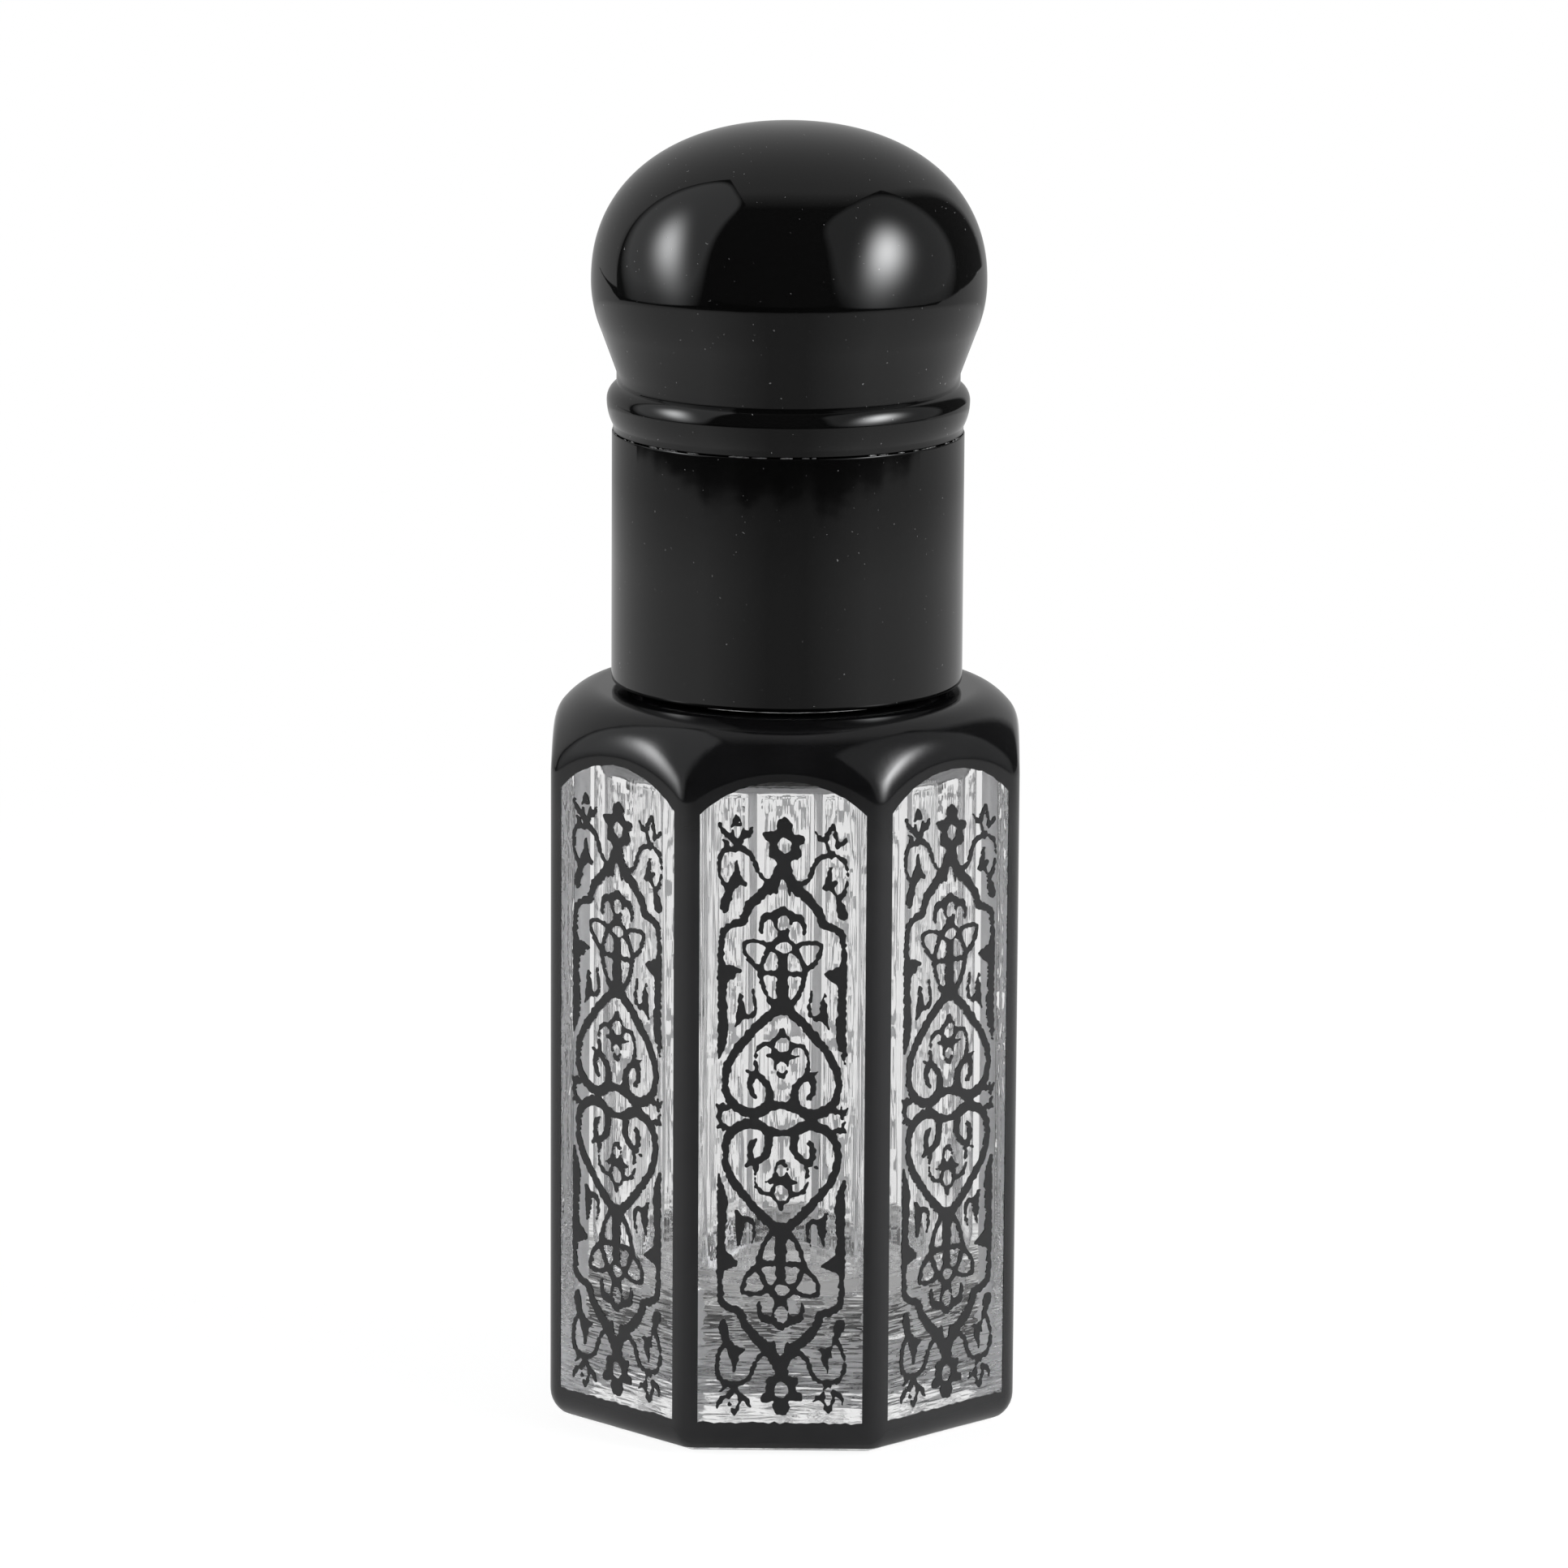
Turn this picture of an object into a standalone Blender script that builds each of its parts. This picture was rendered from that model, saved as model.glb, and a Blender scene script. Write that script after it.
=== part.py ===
"""Octagonal glass bottle for essential oil, with a roll-on ball and a mushroom screw cap.

The bottle is a thick clear glass prism whose shoulder is turned, so each facet ends in an arch.
A black lacquer coat covers it and leaves one arched window on each facet. A housing with a
roller ball is pressed into the neck, and the cap is a threaded liner inside a plain skirt
under a dome. Metres, +Z up, origin at the middle of the base.
"""

from math import acos, asin, cos, hypot, pi, sin, sqrt, tan

import bmesh
import bpy
from mathutils import Matrix

# Counts. Steps per facet are odd, which keeps a turned piece's edges off the prism's corners.
FACETS = 8
STEPS_PER_FACET = 5
ROUND_STEPS = 4
ARCH_STEPS = 12

# Bottle, measured over the lacquer.
ACROSS_FLATS = 0.0250
CORNER_RADIUS = 0.0015
BASE_ROUNDING = 0.0012
SHOULDER_HEIGHT = 0.0395
SHOULDER_RISE = 0.0140
SHOULDER_OVERSHOOT = 0.00162
SHOULDER_LAND_MARGIN = 0.00073

# Glass under the lacquer.
GLASS_FLOOR = 0.0075
GLASS_SHOULDER = 0.0035
CAVITY_STEP = 0.0020
CAVITY_ROUNDING = 0.0020
NECK_BORE_RADIUS = 0.0055
NECK_WALL = 0.0014
NECK_HEIGHT = 0.0095
NECK_FILLET = 0.0008
RIM_ROUNDING = 0.0004

# Lacquer and its windows.
COAT_WALL = 0.00015
COAT_GAP = 0.00005
COAT_HEM = 0.0003
COAT_COLLAR_CLEARANCE = 0.0004
WINDOW_SIDE_MARGIN = 0.00078
WINDOW_SILL = 0.00188
WINDOW_TOP_MARGIN = 0.00115
WINDOW_ARCH_RISE = 0.0018

# Roll-on housing and ball.
SOCKET_WALL = 0.00108
BALL_CLEARANCE = 0.00012
BALL_DROP = 0.0001
BALL_LIP_HEIGHT = 0.0015
SEAT_HOLE_RADIUS = 0.0024
SEAT_WEB = 0.0009
PLUG_DEPTH = 0.0064
PLUG_WALL = 0.0011
PLUG_CHAMFER = 0.0004
PLUG_CLEARANCE = 0.0001
FLANGE_INSET = 0.0004
FLANGE_THICKNESS = 0.0007
FLANGE_GAP = 0.0001
COLLAR_WALL = 0.00088
COLLAR_ROUNDING = 0.0004

# Cap liner and the sealing disc under its roof.
THREAD_DEPTH = 0.0009
LINER_WALL = 0.00052
LINER_RECESS = 0.0006
LINER_ROOF = 0.0010
LINER_STEP = 0.0008
DRUM_WALL = 0.0006
DRUM_CLEARANCE = 0.0002
WAD_THICKNESS = 0.0008
WAD_CLEARANCE = 0.0001
WAD_LIFT = 0.00025

# Cap skirt.
SKIRT_CLEARANCE = 0.0003
SKIRT_WALL = 0.0008
SKIRT_LIFT = 0.00025
SKIRT_OVER_FLANGE = 0.0035
SKIRT_EDGE_ROUNDING = 0.00025

# Cap dome with its bead.
SEAM_GAP = 0.0001
SPIGOT_DEPTH = 0.0021
SPIGOT_WALL = 0.0009
SPIGOT_CLEARANCE = 0.00012
BEAD_PROUD = 0.00028
BEAD_FOOT_INSET = 0.00032
BEAD_CREST = 0.00165
BEAD_UPPER_ROUNDING = 0.0010
BEAD_LOWER_ROUNDING = 0.00175
WAIST_INSET = 0.00024
WAIST_LIFT = 0.0031
DOME_OVERHANG = 0.00113
DOME_HEIGHT = 0.0133
DOME_CROWN = 0.0084
DOME_UNDERSIDE_RADIUS = 0.0068
DOME_UNDERSIDE_ANGLE = 0.40
DOME_SQUARENESS = 2.2
DOME_WALL = 0.0013

# How far every cutter runs past what it cuts, and how near two points count as one.
OVERRUN = 0.0010
WELD_DISTANCE = 0.000001

# Counts and places worked out from the sizes above.
TURN_STEPS = FACETS * STEPS_PER_FACET
HALF_TURN = pi / FACETS
APOTHEM = ACROSS_FLATS / 2
FACET_HALF_WIDTH = APOTHEM * tan(HALF_TURN)
TURNED_RADIUS = APOTHEM / cos(HALF_TURN)
GLASS_INSET = COAT_WALL + COAT_GAP

NECK_RADIUS = NECK_BORE_RADIUS + NECK_WALL
NECK_TOP = SHOULDER_HEIGHT + NECK_HEIGHT
CAVITY_RADIUS = NECK_BORE_RADIUS + CAVITY_STEP
CAVITY_TOP = SHOULDER_HEIGHT - GLASS_SHOULDER
COAT_COLLAR_RADIUS = NECK_RADIUS + NECK_FILLET + COAT_COLLAR_CLEARANCE

PLUG_RADIUS = NECK_BORE_RADIUS - PLUG_CLEARANCE
PLUG_BORE_RADIUS = PLUG_RADIUS - PLUG_WALL
PLUG_BOTTOM = NECK_TOP - PLUG_DEPTH
FLANGE_RADIUS = NECK_RADIUS - FLANGE_INSET
FLANGE_BOTTOM = NECK_TOP + FLANGE_GAP
FLANGE_TOP = FLANGE_BOTTOM + FLANGE_THICKNESS
SOCKET_RADIUS = PLUG_RADIUS - SOCKET_WALL
COLLAR_RADIUS = SOCKET_RADIUS + COLLAR_WALL
BALL_RADIUS = SOCKET_RADIUS - BALL_CLEARANCE
BALL_CENTRE = NECK_TOP - BALL_DROP

LINER_BORE_RADIUS = NECK_RADIUS + THREAD_DEPTH
LINER_RADIUS = LINER_BORE_RADIUS + LINER_WALL
SKIRT_BORE_RADIUS = LINER_RADIUS + SKIRT_CLEARANCE
SKIRT_RADIUS = SKIRT_BORE_RADIUS + SKIRT_WALL
SKIRT_BOTTOM = SHOULDER_HEIGHT + SKIRT_LIFT
SKIRT_TOP = FLANGE_TOP + SKIRT_OVER_FLANGE
SHOULDER_START = SHOULDER_HEIGHT - SHOULDER_RISE
SHOULDER_LAND_RADIUS = SKIRT_RADIUS + SHOULDER_LAND_MARGIN
SHOULDER_RUN = TURNED_RADIUS + SHOULDER_OVERSHOOT - SHOULDER_LAND_RADIUS
SHOULDER_END_ANGLE = acos((TURNED_RADIUS - SHOULDER_LAND_RADIUS) / SHOULDER_RUN)

DOME_BOTTOM = SKIRT_TOP + SEAM_GAP
SPIGOT_RADIUS = SKIRT_BORE_RADIUS - SPIGOT_CLEARANCE
SPIGOT_BORE_RADIUS = SPIGOT_RADIUS - SPIGOT_WALL
SPIGOT_BOTTOM = DOME_BOTTOM - SPIGOT_DEPTH
BEAD_RADIUS = SKIRT_RADIUS + BEAD_PROUD
BEAD_FOOT_RADIUS = SKIRT_RADIUS - BEAD_FOOT_INSET
WAIST_RADIUS = SKIRT_RADIUS - WAIST_INSET
WAIST_HEIGHT = DOME_BOTTOM + WAIST_LIFT
BEAD_CREST_HEIGHT = DOME_BOTTOM + BEAD_CREST
DOME_RADIUS = SKIRT_RADIUS + DOME_OVERHANG
DOME_TOP = WAIST_HEIGHT + DOME_HEIGHT

DRUM_RADIUS = SPIGOT_BORE_RADIUS - DRUM_CLEARANCE
DRUM_BORE_RADIUS = DRUM_RADIUS - DRUM_WALL
WAD_RADIUS = DRUM_BORE_RADIUS - WAD_CLEARANCE
WAD_BOTTOM = BALL_CENTRE + BALL_RADIUS + WAD_LIFT
WAD_TOP = WAD_BOTTOM + WAD_THICKNESS
LINER_CEILING = WAD_TOP + WAD_CLEARANCE
LINER_TOP = LINER_CEILING + LINER_ROOF
LINER_BOTTOM = SKIRT_BOTTOM + LINER_RECESS
LINER_SHOULDER = SPIGOT_BOTTOM - SKIRT_CLEARANCE


def clear_scene():
    """Remove every object, so that the script can be run again in the same file."""
    for obj in list(bpy.data.objects):
        bpy.data.objects.remove(obj, do_unlink=True)


def new_collection(name):
    collection = bpy.data.collections.new(name)
    bpy.context.scene.collection.children.link(collection)
    return collection


def material(name, colour, roughness, metallic=0.0, transmission=0.0):
    """A Principled material in one colour, given as linear red, green and blue."""
    made = bpy.data.materials.new(name)
    made.use_nodes = True
    shader = made.node_tree.nodes["Principled BSDF"]
    shader.inputs["Base Color"].default_value = (*colour, 1.0)
    shader.inputs["Roughness"].default_value = roughness
    shader.inputs["Metallic"].default_value = metallic
    shader.inputs["Transmission Weight"].default_value = transmission
    made.diffuse_color = (*colour, 1.0)
    return made


def add_object(name, mesh, collection, finish=None):
    obj = bpy.data.objects.new(name, mesh)
    collection.objects.link(obj)
    if finish:
        mesh.materials.append(finish)
    return obj


def hide(cutter):
    """Mark an object as a cutter, which is no piece of the bottle."""
    cutter.hide_render = True
    cutter.display_type = "WIRE"
    return cutter


def boolean(obj, operation, other):
    modifier = obj.modifiers.new(operation.title() + " " + other.name, "BOOLEAN")
    modifier.operation = operation
    modifier.object = other
    modifier.solver = "EXACT"
    return modifier


def arc(centre_radius, centre_height, run, rise, start, end, steps=ROUND_STEPS):
    """Profile points (radius, height) on an ellipse, from one angle to another in radians."""
    angles = [start + (end - start) * i / steps for i in range(steps + 1)]
    return [(centre_radius + run * cos(a), centre_height + rise * sin(a)) for a in angles]


def without_repeats(points):
    """The points without those that lie on the one before, as where an arc meets a corner."""
    kept = points[:1]
    for point in points[1:]:
        if hypot(point[0] - kept[-1][0], point[1] - kept[-1][1]) > WELD_DISTANCE:
            kept.append(point)
    return kept


def turned(name, profile, collection, finish=None, closed=False):
    """A profile of (radius, height) points, down its outer side, turned round the Z axis."""
    points = without_repeats(profile)
    mesh = bpy.data.meshes.new(name)
    edges = [(i, i + 1) for i in range(len(points) - 1)]
    if closed:
        edges.append((len(points) - 1, 0))
    mesh.from_pydata([(radius, 0, height) for radius, height in points], edges, [])
    obj = add_object(name, mesh, collection, finish)
    screw = obj.modifiers.new("Turned", "SCREW")
    screw.axis = "Z"
    screw.angle = 2 * pi
    screw.steps = screw.render_steps = TURN_STEPS
    screw.use_merge_vertices = True
    screw.merge_threshold = WELD_DISTANCE
    screw.use_smooth_shade = True
    return obj


def scallop_height(radius):
    """Height at which the turned shoulder cuts a point this far from the axis."""
    share = (radius - SHOULDER_LAND_RADIUS) / SHOULDER_RUN
    return SHOULDER_START + SHOULDER_RISE * sqrt(max(0.0, 1.0 - share * share))


def facet_block(name, inset, top, collection, finish=None):
    """The octagonal prism with a facet to the front, its corners and its base edge rounded."""
    bm = bmesh.new()
    apothem = APOTHEM - inset
    bmesh.ops.create_cone(
        bm,
        cap_ends=True,
        segments=FACETS,
        radius1=apothem / cos(HALF_TURN),
        radius2=apothem / cos(HALF_TURN),
        depth=top,
        matrix=Matrix.Translation((0, 0, top / 2)) @ Matrix.Rotation(HALF_TURN, 4, "Z"),
    )
    corners = [e for e in bm.edges if abs(e.verts[0].co.z - e.verts[1].co.z) > top / 2]
    bmesh.ops.bevel(
        bm,
        geom=corners,
        offset=CORNER_RADIUS * tan(HALF_TURN),
        offset_type="OFFSET",
        segments=ROUND_STEPS,
        profile=0.5,
        affect="EDGES",
    )
    base = [e for e in bm.edges if max(v.co.z for v in e.verts) < BASE_ROUNDING / 2]
    bmesh.ops.bevel(
        bm,
        geom=base,
        offset=BASE_ROUNDING,
        offset_type="OFFSET",
        segments=ROUND_STEPS,
        profile=0.5,
        affect="EDGES",
    )
    mesh = bpy.data.meshes.new(name)
    bm.to_mesh(mesh)
    bm.free()
    return add_object(name, mesh, collection, finish)


def shoulder_profile(inset, collar_radius):
    """The turned shoulder from the collar out past the corners, and down a straight side."""
    run, rise = SHOULDER_RUN - inset, SHOULDER_RISE - inset
    curve = arc(
        SHOULDER_LAND_RADIUS,
        SHOULDER_START,
        run,
        rise,
        pi / 2,
        SHOULDER_END_ANGLE,
        2 * ROUND_STEPS,
    )
    bottom = -OVERRUN
    return [(collar_radius, SHOULDER_HEIGHT - inset), *curve, (curve[-1][0], bottom), (0, bottom)]


def neck_profile():
    """The neck from its rim down to the fillet that meets the shoulder."""
    seat = SHOULDER_HEIGHT - GLASS_INSET
    rim = arc(NECK_RADIUS - RIM_ROUNDING, NECK_TOP - RIM_ROUNDING, RIM_ROUNDING, RIM_ROUNDING, pi / 2, 0)
    fillet = arc(NECK_RADIUS + NECK_FILLET, seat + NECK_FILLET, NECK_FILLET, NECK_FILLET, pi, 3 * pi / 2)
    return [(0, NECK_TOP), *rim, *fillet]


def cavity_profile():
    """The hollow for the oil: the bore, an S-shaped shoulder, the wall and a rounded floor."""
    ease = CAVITY_STEP / 2
    top = NECK_TOP + OVERRUN
    throat = arc(NECK_BORE_RADIUS + ease, CAVITY_TOP + ease, ease, ease, pi, 3 * pi / 2)
    roof = arc(CAVITY_RADIUS - ease, CAVITY_TOP - ease, ease, ease, pi / 2, 0)
    floor = arc(
        CAVITY_RADIUS - CAVITY_ROUNDING,
        GLASS_FLOOR + CAVITY_ROUNDING,
        CAVITY_ROUNDING,
        CAVITY_ROUNDING,
        0,
        -pi / 2,
    )
    return [(0, top), (NECK_BORE_RADIUS, top), *throat, *roof, *floor, (0, GLASS_FLOOR)]


def make_glass_bottle(parts, cutters, finish):
    """Thick glass: the prism trimmed by the turned shoulder and neck, then hollowed."""
    bottle = facet_block("glass_bottle", GLASS_INSET, NECK_TOP + OVERRUN, parts, finish)
    collar = NECK_RADIUS + NECK_FILLET
    outside = neck_profile() + shoulder_profile(GLASS_INSET, collar)
    boolean(bottle, "INTERSECT", hide(turned("cut_outside", outside, cutters)))
    boolean(bottle, "DIFFERENCE", hide(turned("cut_cavity", cavity_profile(), cutters)))
    return bottle


def window_outline():
    """One window's outline as (across, height) points: a sill, two sides and the arch."""
    half = FACET_HALF_WIDTH - WINDOW_SIDE_MARGIN
    radius = (half * half + WINDOW_ARCH_RISE * WINDOW_ARCH_RISE) / (2 * WINDOW_ARCH_RISE)
    centre = scallop_height(APOTHEM) - WINDOW_TOP_MARGIN - radius
    across = [half - 2 * half * i / ARCH_STEPS for i in range(ARCH_STEPS + 1)]
    arch = [(x, centre + sqrt(radius * radius - x * x)) for x in across]
    return [(-half, WINDOW_SILL), (half, WINDOW_SILL), *arch]


def plate_mesh(name, outline, thickness):
    """A flat outline as a closed plate, standing in the XZ plane and centred on it."""
    curve = bpy.data.curves.new(name, "CURVE")
    curve.dimensions = "2D"
    curve.fill_mode = "BOTH"
    curve.extrude = thickness / 2
    spline = curve.splines.new("POLY")
    spline.points.add(len(outline) - 1)
    for point, (across, height) in zip(spline.points, outline):
        point.co = (across, height, 0, 1)
    spline.use_cyclic_u = True
    guide = bpy.data.objects.new(name, curve)
    bpy.context.scene.collection.objects.link(guide)
    graph = bpy.context.evaluated_depsgraph_get()
    mesh = bpy.data.meshes.new_from_object(guide.evaluated_get(graph))
    bpy.data.objects.remove(guide, do_unlink=True)
    bm = bmesh.new()
    bm.from_mesh(mesh)
    bmesh.ops.remove_doubles(bm, verts=bm.verts, dist=WELD_DISTANCE)
    bmesh.ops.rotate(bm, verts=bm.verts, cent=(0, 0, 0), matrix=Matrix.Rotation(pi / 2, 3, "X"))
    bmesh.ops.recalc_face_normals(bm, faces=bm.faces)
    bm.to_mesh(mesh)
    bm.free()
    return mesh


def facet_angles():
    return [2 * HALF_TURN * i for i in range(FACETS)]


def window_cutter(cutters):
    """One arched plate through the lacquer of each facet, all in one mesh."""
    plate = plate_mesh("window_plate", window_outline(), 2 * OVERRUN)
    bm = bmesh.new()
    for angle in facet_angles():
        before = len(bm.verts)
        bm.from_mesh(plate)
        bm.verts.ensure_lookup_table()
        place = Matrix.Rotation(angle, 4, "Z") @ Matrix.Translation((0, -APOTHEM, 0))
        bmesh.ops.transform(bm, matrix=place, verts=bm.verts[before:])
    mesh = bpy.data.meshes.new("cut_windows")
    bm.to_mesh(mesh)
    bm.free()
    return hide(add_object("cut_windows", mesh, cutters))


def hem_cutter(cutters):
    """A slab that trims the lacquer just above the base, so the bottle stands on its glass."""
    bm = bmesh.new()
    side = 2 * ACROSS_FLATS
    depth = COAT_HEM + OVERRUN
    bmesh.ops.create_cube(bm, size=1.0)
    bmesh.ops.scale(bm, vec=(side, side, depth), verts=bm.verts)
    bmesh.ops.translate(bm, vec=(0, 0, COAT_HEM - depth / 2), verts=bm.verts)
    mesh = bpy.data.meshes.new("cut_hem")
    bm.to_mesh(mesh)
    bm.free()
    return hide(add_object("cut_hem", mesh, cutters))


def coat_core_profile():
    """The turned limit of what lies under the lacquer, with a post that opens its collar."""
    top = SHOULDER_HEIGHT + OVERRUN
    post = [(0, top), (COAT_COLLAR_RADIUS, top)]
    return post + shoulder_profile(COAT_WALL, COAT_COLLAR_RADIUS)


def make_lacquer_coat(parts, cutters, finish):
    """The lacquer as a thin shell: the outside less the glass it lies on and the windows."""
    top = SHOULDER_HEIGHT + 2 * OVERRUN
    coat = facet_block("lacquer_coat", 0, top, parts, finish)
    outside = [(0, SHOULDER_HEIGHT), *shoulder_profile(0, COAT_COLLAR_RADIUS)]
    boolean(coat, "INTERSECT", hide(turned("cut_coat_outside", outside, cutters)))
    boolean(coat, "DIFFERENCE", hem_cutter(cutters))
    core = hide(facet_block("cut_core", COAT_WALL, top, cutters))
    boolean(core, "INTERSECT", hide(turned("cut_core_turn", coat_core_profile(), cutters)))
    boolean(coat, "DIFFERENCE", core)
    boolean(coat, "DIFFERENCE", window_cutter(cutters))
    return coat


def make_roller_housing(parts, finish):
    """The pressed-in plug: flange on the rim, collar and snap lip over the ball, open seat."""
    lip = arc(
        0,
        BALL_CENTRE,
        SOCKET_RADIUS,
        SOCKET_RADIUS,
        -acos(SEAT_HOLE_RADIUS / SOCKET_RADIUS),
        asin(BALL_LIP_HEIGHT / SOCKET_RADIUS),
        2 * ROUND_STEPS,
    )
    lip_top = lip[-1][1]
    seat_bottom = lip[0][1] - SEAT_WEB
    crown = arc(
        COLLAR_RADIUS - COLLAR_ROUNDING,
        lip_top - COLLAR_ROUNDING,
        COLLAR_ROUNDING,
        COLLAR_ROUNDING,
        pi / 2,
        0,
    )
    outside = [
        *crown,
        (COLLAR_RADIUS, FLANGE_TOP),
        (FLANGE_RADIUS, FLANGE_TOP),
        (FLANGE_RADIUS, FLANGE_BOTTOM),
        (PLUG_RADIUS, FLANGE_BOTTOM),
        (PLUG_RADIUS, PLUG_BOTTOM + PLUG_CHAMFER),
        (PLUG_RADIUS - PLUG_CHAMFER, PLUG_BOTTOM),
    ]
    inside = [
        (PLUG_BORE_RADIUS, PLUG_BOTTOM),
        (PLUG_BORE_RADIUS, seat_bottom - SEAT_WEB),
        (SEAT_HOLE_RADIUS, seat_bottom),
    ]
    return turned("roller_housing", outside + inside + lip, parts, finish, closed=True)


def make_roller_ball(parts, finish):
    """The ball, its origin at its centre and its poles on the axis that it rolls about."""
    bm = bmesh.new()
    bmesh.ops.create_uvsphere(
        bm,
        u_segments=TURN_STEPS // 2,
        v_segments=3 * ROUND_STEPS,
        radius=BALL_RADIUS,
        matrix=Matrix.Rotation(pi / 2, 4, "Y"),
    )
    mesh = bpy.data.meshes.new("roller_ball")
    bm.to_mesh(mesh)
    bm.free()
    mesh.shade_smooth()
    ball = add_object("roller_ball", mesh, parts, finish)
    ball.location = (0, 0, BALL_CENTRE)
    return ball


def make_cap_skirt(parts, finish):
    """The plain sleeve under the seam, with both outer edges eased."""
    ease = SKIRT_EDGE_ROUNDING
    top = arc(SKIRT_RADIUS - ease, SKIRT_TOP - ease, ease, ease, pi / 2, 0)
    bottom = arc(SKIRT_RADIUS - ease, SKIRT_BOTTOM + ease, ease, ease, 0, -pi / 2)
    inside = [(SKIRT_BORE_RADIUS, SKIRT_BOTTOM), (SKIRT_BORE_RADIUS, SKIRT_TOP)]
    return turned("cap_skirt", top + bottom + inside, parts, finish, closed=True)


def squared_arc(run, rise, steps):
    """A quarter of a slightly squared ellipse, from its top to its widest point."""
    power = 2 / DOME_SQUARENESS
    angles = [pi / 2 * (1 - i / steps) for i in range(steps + 1)]
    return [(run * max(0.0, cos(a)) ** power, rise * sin(a) ** power) for a in angles]


def dome_outside(wall):
    """The mushroom's outline this far under its surface, from its top down to the waist."""
    widest = DOME_TOP - DOME_CROWN
    crown = [
        (radius, widest + height)
        for radius, height in squared_arc(DOME_RADIUS - wall, DOME_CROWN - wall, 3 * ROUND_STEPS)
    ]
    under = arc(
        DOME_RADIUS - DOME_UNDERSIDE_RADIUS,
        widest,
        DOME_UNDERSIDE_RADIUS - wall,
        DOME_UNDERSIDE_RADIUS - wall,
        0,
        -DOME_UNDERSIDE_ANGLE,
    )
    return crown + under + [(WAIST_RADIUS - wall, WAIST_HEIGHT)]


def bead_outline():
    """The bead from the waist out over its crest, tightly rounded above and fuller below."""
    upper = BEAD_RADIUS - BEAD_UPPER_ROUNDING
    lower = BEAD_RADIUS - BEAD_LOWER_ROUNDING
    start = acos((WAIST_RADIUS - upper) / BEAD_UPPER_ROUNDING)
    end = -acos((BEAD_FOOT_RADIUS - lower) / BEAD_LOWER_ROUNDING)
    top = arc(upper, BEAD_CREST_HEIGHT, BEAD_UPPER_ROUNDING, BEAD_UPPER_ROUNDING, start, 0)
    foot = arc(lower, BEAD_CREST_HEIGHT, BEAD_LOWER_ROUNDING, BEAD_LOWER_ROUNDING, 0, end)
    return top + foot[1:]


def make_cap_dome(parts, finish):
    """The mushroom dome and its bead, hollow, with a spigot that plugs into the skirt."""
    outside = dome_outside(0) + bead_outline() + [(BEAD_FOOT_RADIUS, DOME_BOTTOM)]
    spigot = [
        (SPIGOT_RADIUS, DOME_BOTTOM),
        (SPIGOT_RADIUS, SPIGOT_BOTTOM),
        (SPIGOT_BORE_RADIUS, SPIGOT_BOTTOM),
        (SPIGOT_BORE_RADIUS, BEAD_CREST_HEIGHT),
    ]
    inside = dome_outside(DOME_WALL)[::-1]
    return turned("cap_dome", outside + spigot + inside, parts, finish)


def make_cap_liner(parts, finish):
    """The threaded liner: a sleeve round the neck and a narrower drum over the roller."""
    profile = [
        (0, LINER_TOP),
        (DRUM_RADIUS, LINER_TOP),
        (DRUM_RADIUS, LINER_SHOULDER),
        (LINER_RADIUS, LINER_SHOULDER),
        (LINER_RADIUS, LINER_BOTTOM),
        (LINER_BORE_RADIUS, LINER_BOTTOM),
        (LINER_BORE_RADIUS, LINER_SHOULDER - LINER_STEP),
        (DRUM_BORE_RADIUS, LINER_SHOULDER - LINER_STEP),
        (DRUM_BORE_RADIUS, LINER_CEILING),
        (0, LINER_CEILING),
    ]
    return turned("cap_liner", profile, parts, finish)


def make_seal_wad(parts, finish):
    """The sealing disc that sits under the liner's roof, over the ball."""
    profile = [(0, WAD_TOP), (WAD_RADIUS, WAD_TOP), (WAD_RADIUS, WAD_BOTTOM), (0, WAD_BOTTOM)]
    return turned("seal_wad", profile, parts, finish)


def main():
    clear_scene()
    parts = new_collection("essential_oil_bottle")
    cutters = new_collection("cutters")
    glass = material("clear_glass", (0.92, 0.94, 0.94), 0.03, transmission=1.0)
    lacquer = material("black_lacquer", (0.012, 0.012, 0.013), 0.08)
    gloss = material("black_gloss_plastic", (0.010, 0.010, 0.011), 0.05)
    liner = material("black_moulded_plastic", (0.020, 0.020, 0.021), 0.45)
    natural = material("natural_moulded_plastic", (0.78, 0.78, 0.76), 0.40)
    steel = material("polished_steel", (0.62, 0.62, 0.63), 0.12, metallic=1.0)
    foam = material("sealing_foam", (0.72, 0.72, 0.70), 0.80)

    make_glass_bottle(parts, cutters, glass)
    make_lacquer_coat(parts, cutters, lacquer)
    make_roller_housing(parts, natural)
    make_roller_ball(parts, steel)
    make_seal_wad(parts, foam)
    make_cap_liner(parts, liner)
    make_cap_skirt(parts, gloss)
    make_cap_dome(parts, gloss)


main()
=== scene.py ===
"""Looks of the octagonal oil bottle: thick glass, printed lacquer, roll-on and mushroom cap.

Each operator builds one piece, or a group of like pieces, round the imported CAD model. Metres,
+Z up, the front facet towards -Y, as in the model. The print is drawn in hundredths of a
millimetre from the middle of a window.
"""

from math import acos, asin, atan2, cos, exp, hypot, pi, radians, sin, tan

import bmesh
import bpy
import numpy as np
from bpy.props import FloatProperty, FloatVectorProperty, IntProperty, PointerProperty
from mathutils import Matrix, Vector


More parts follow.
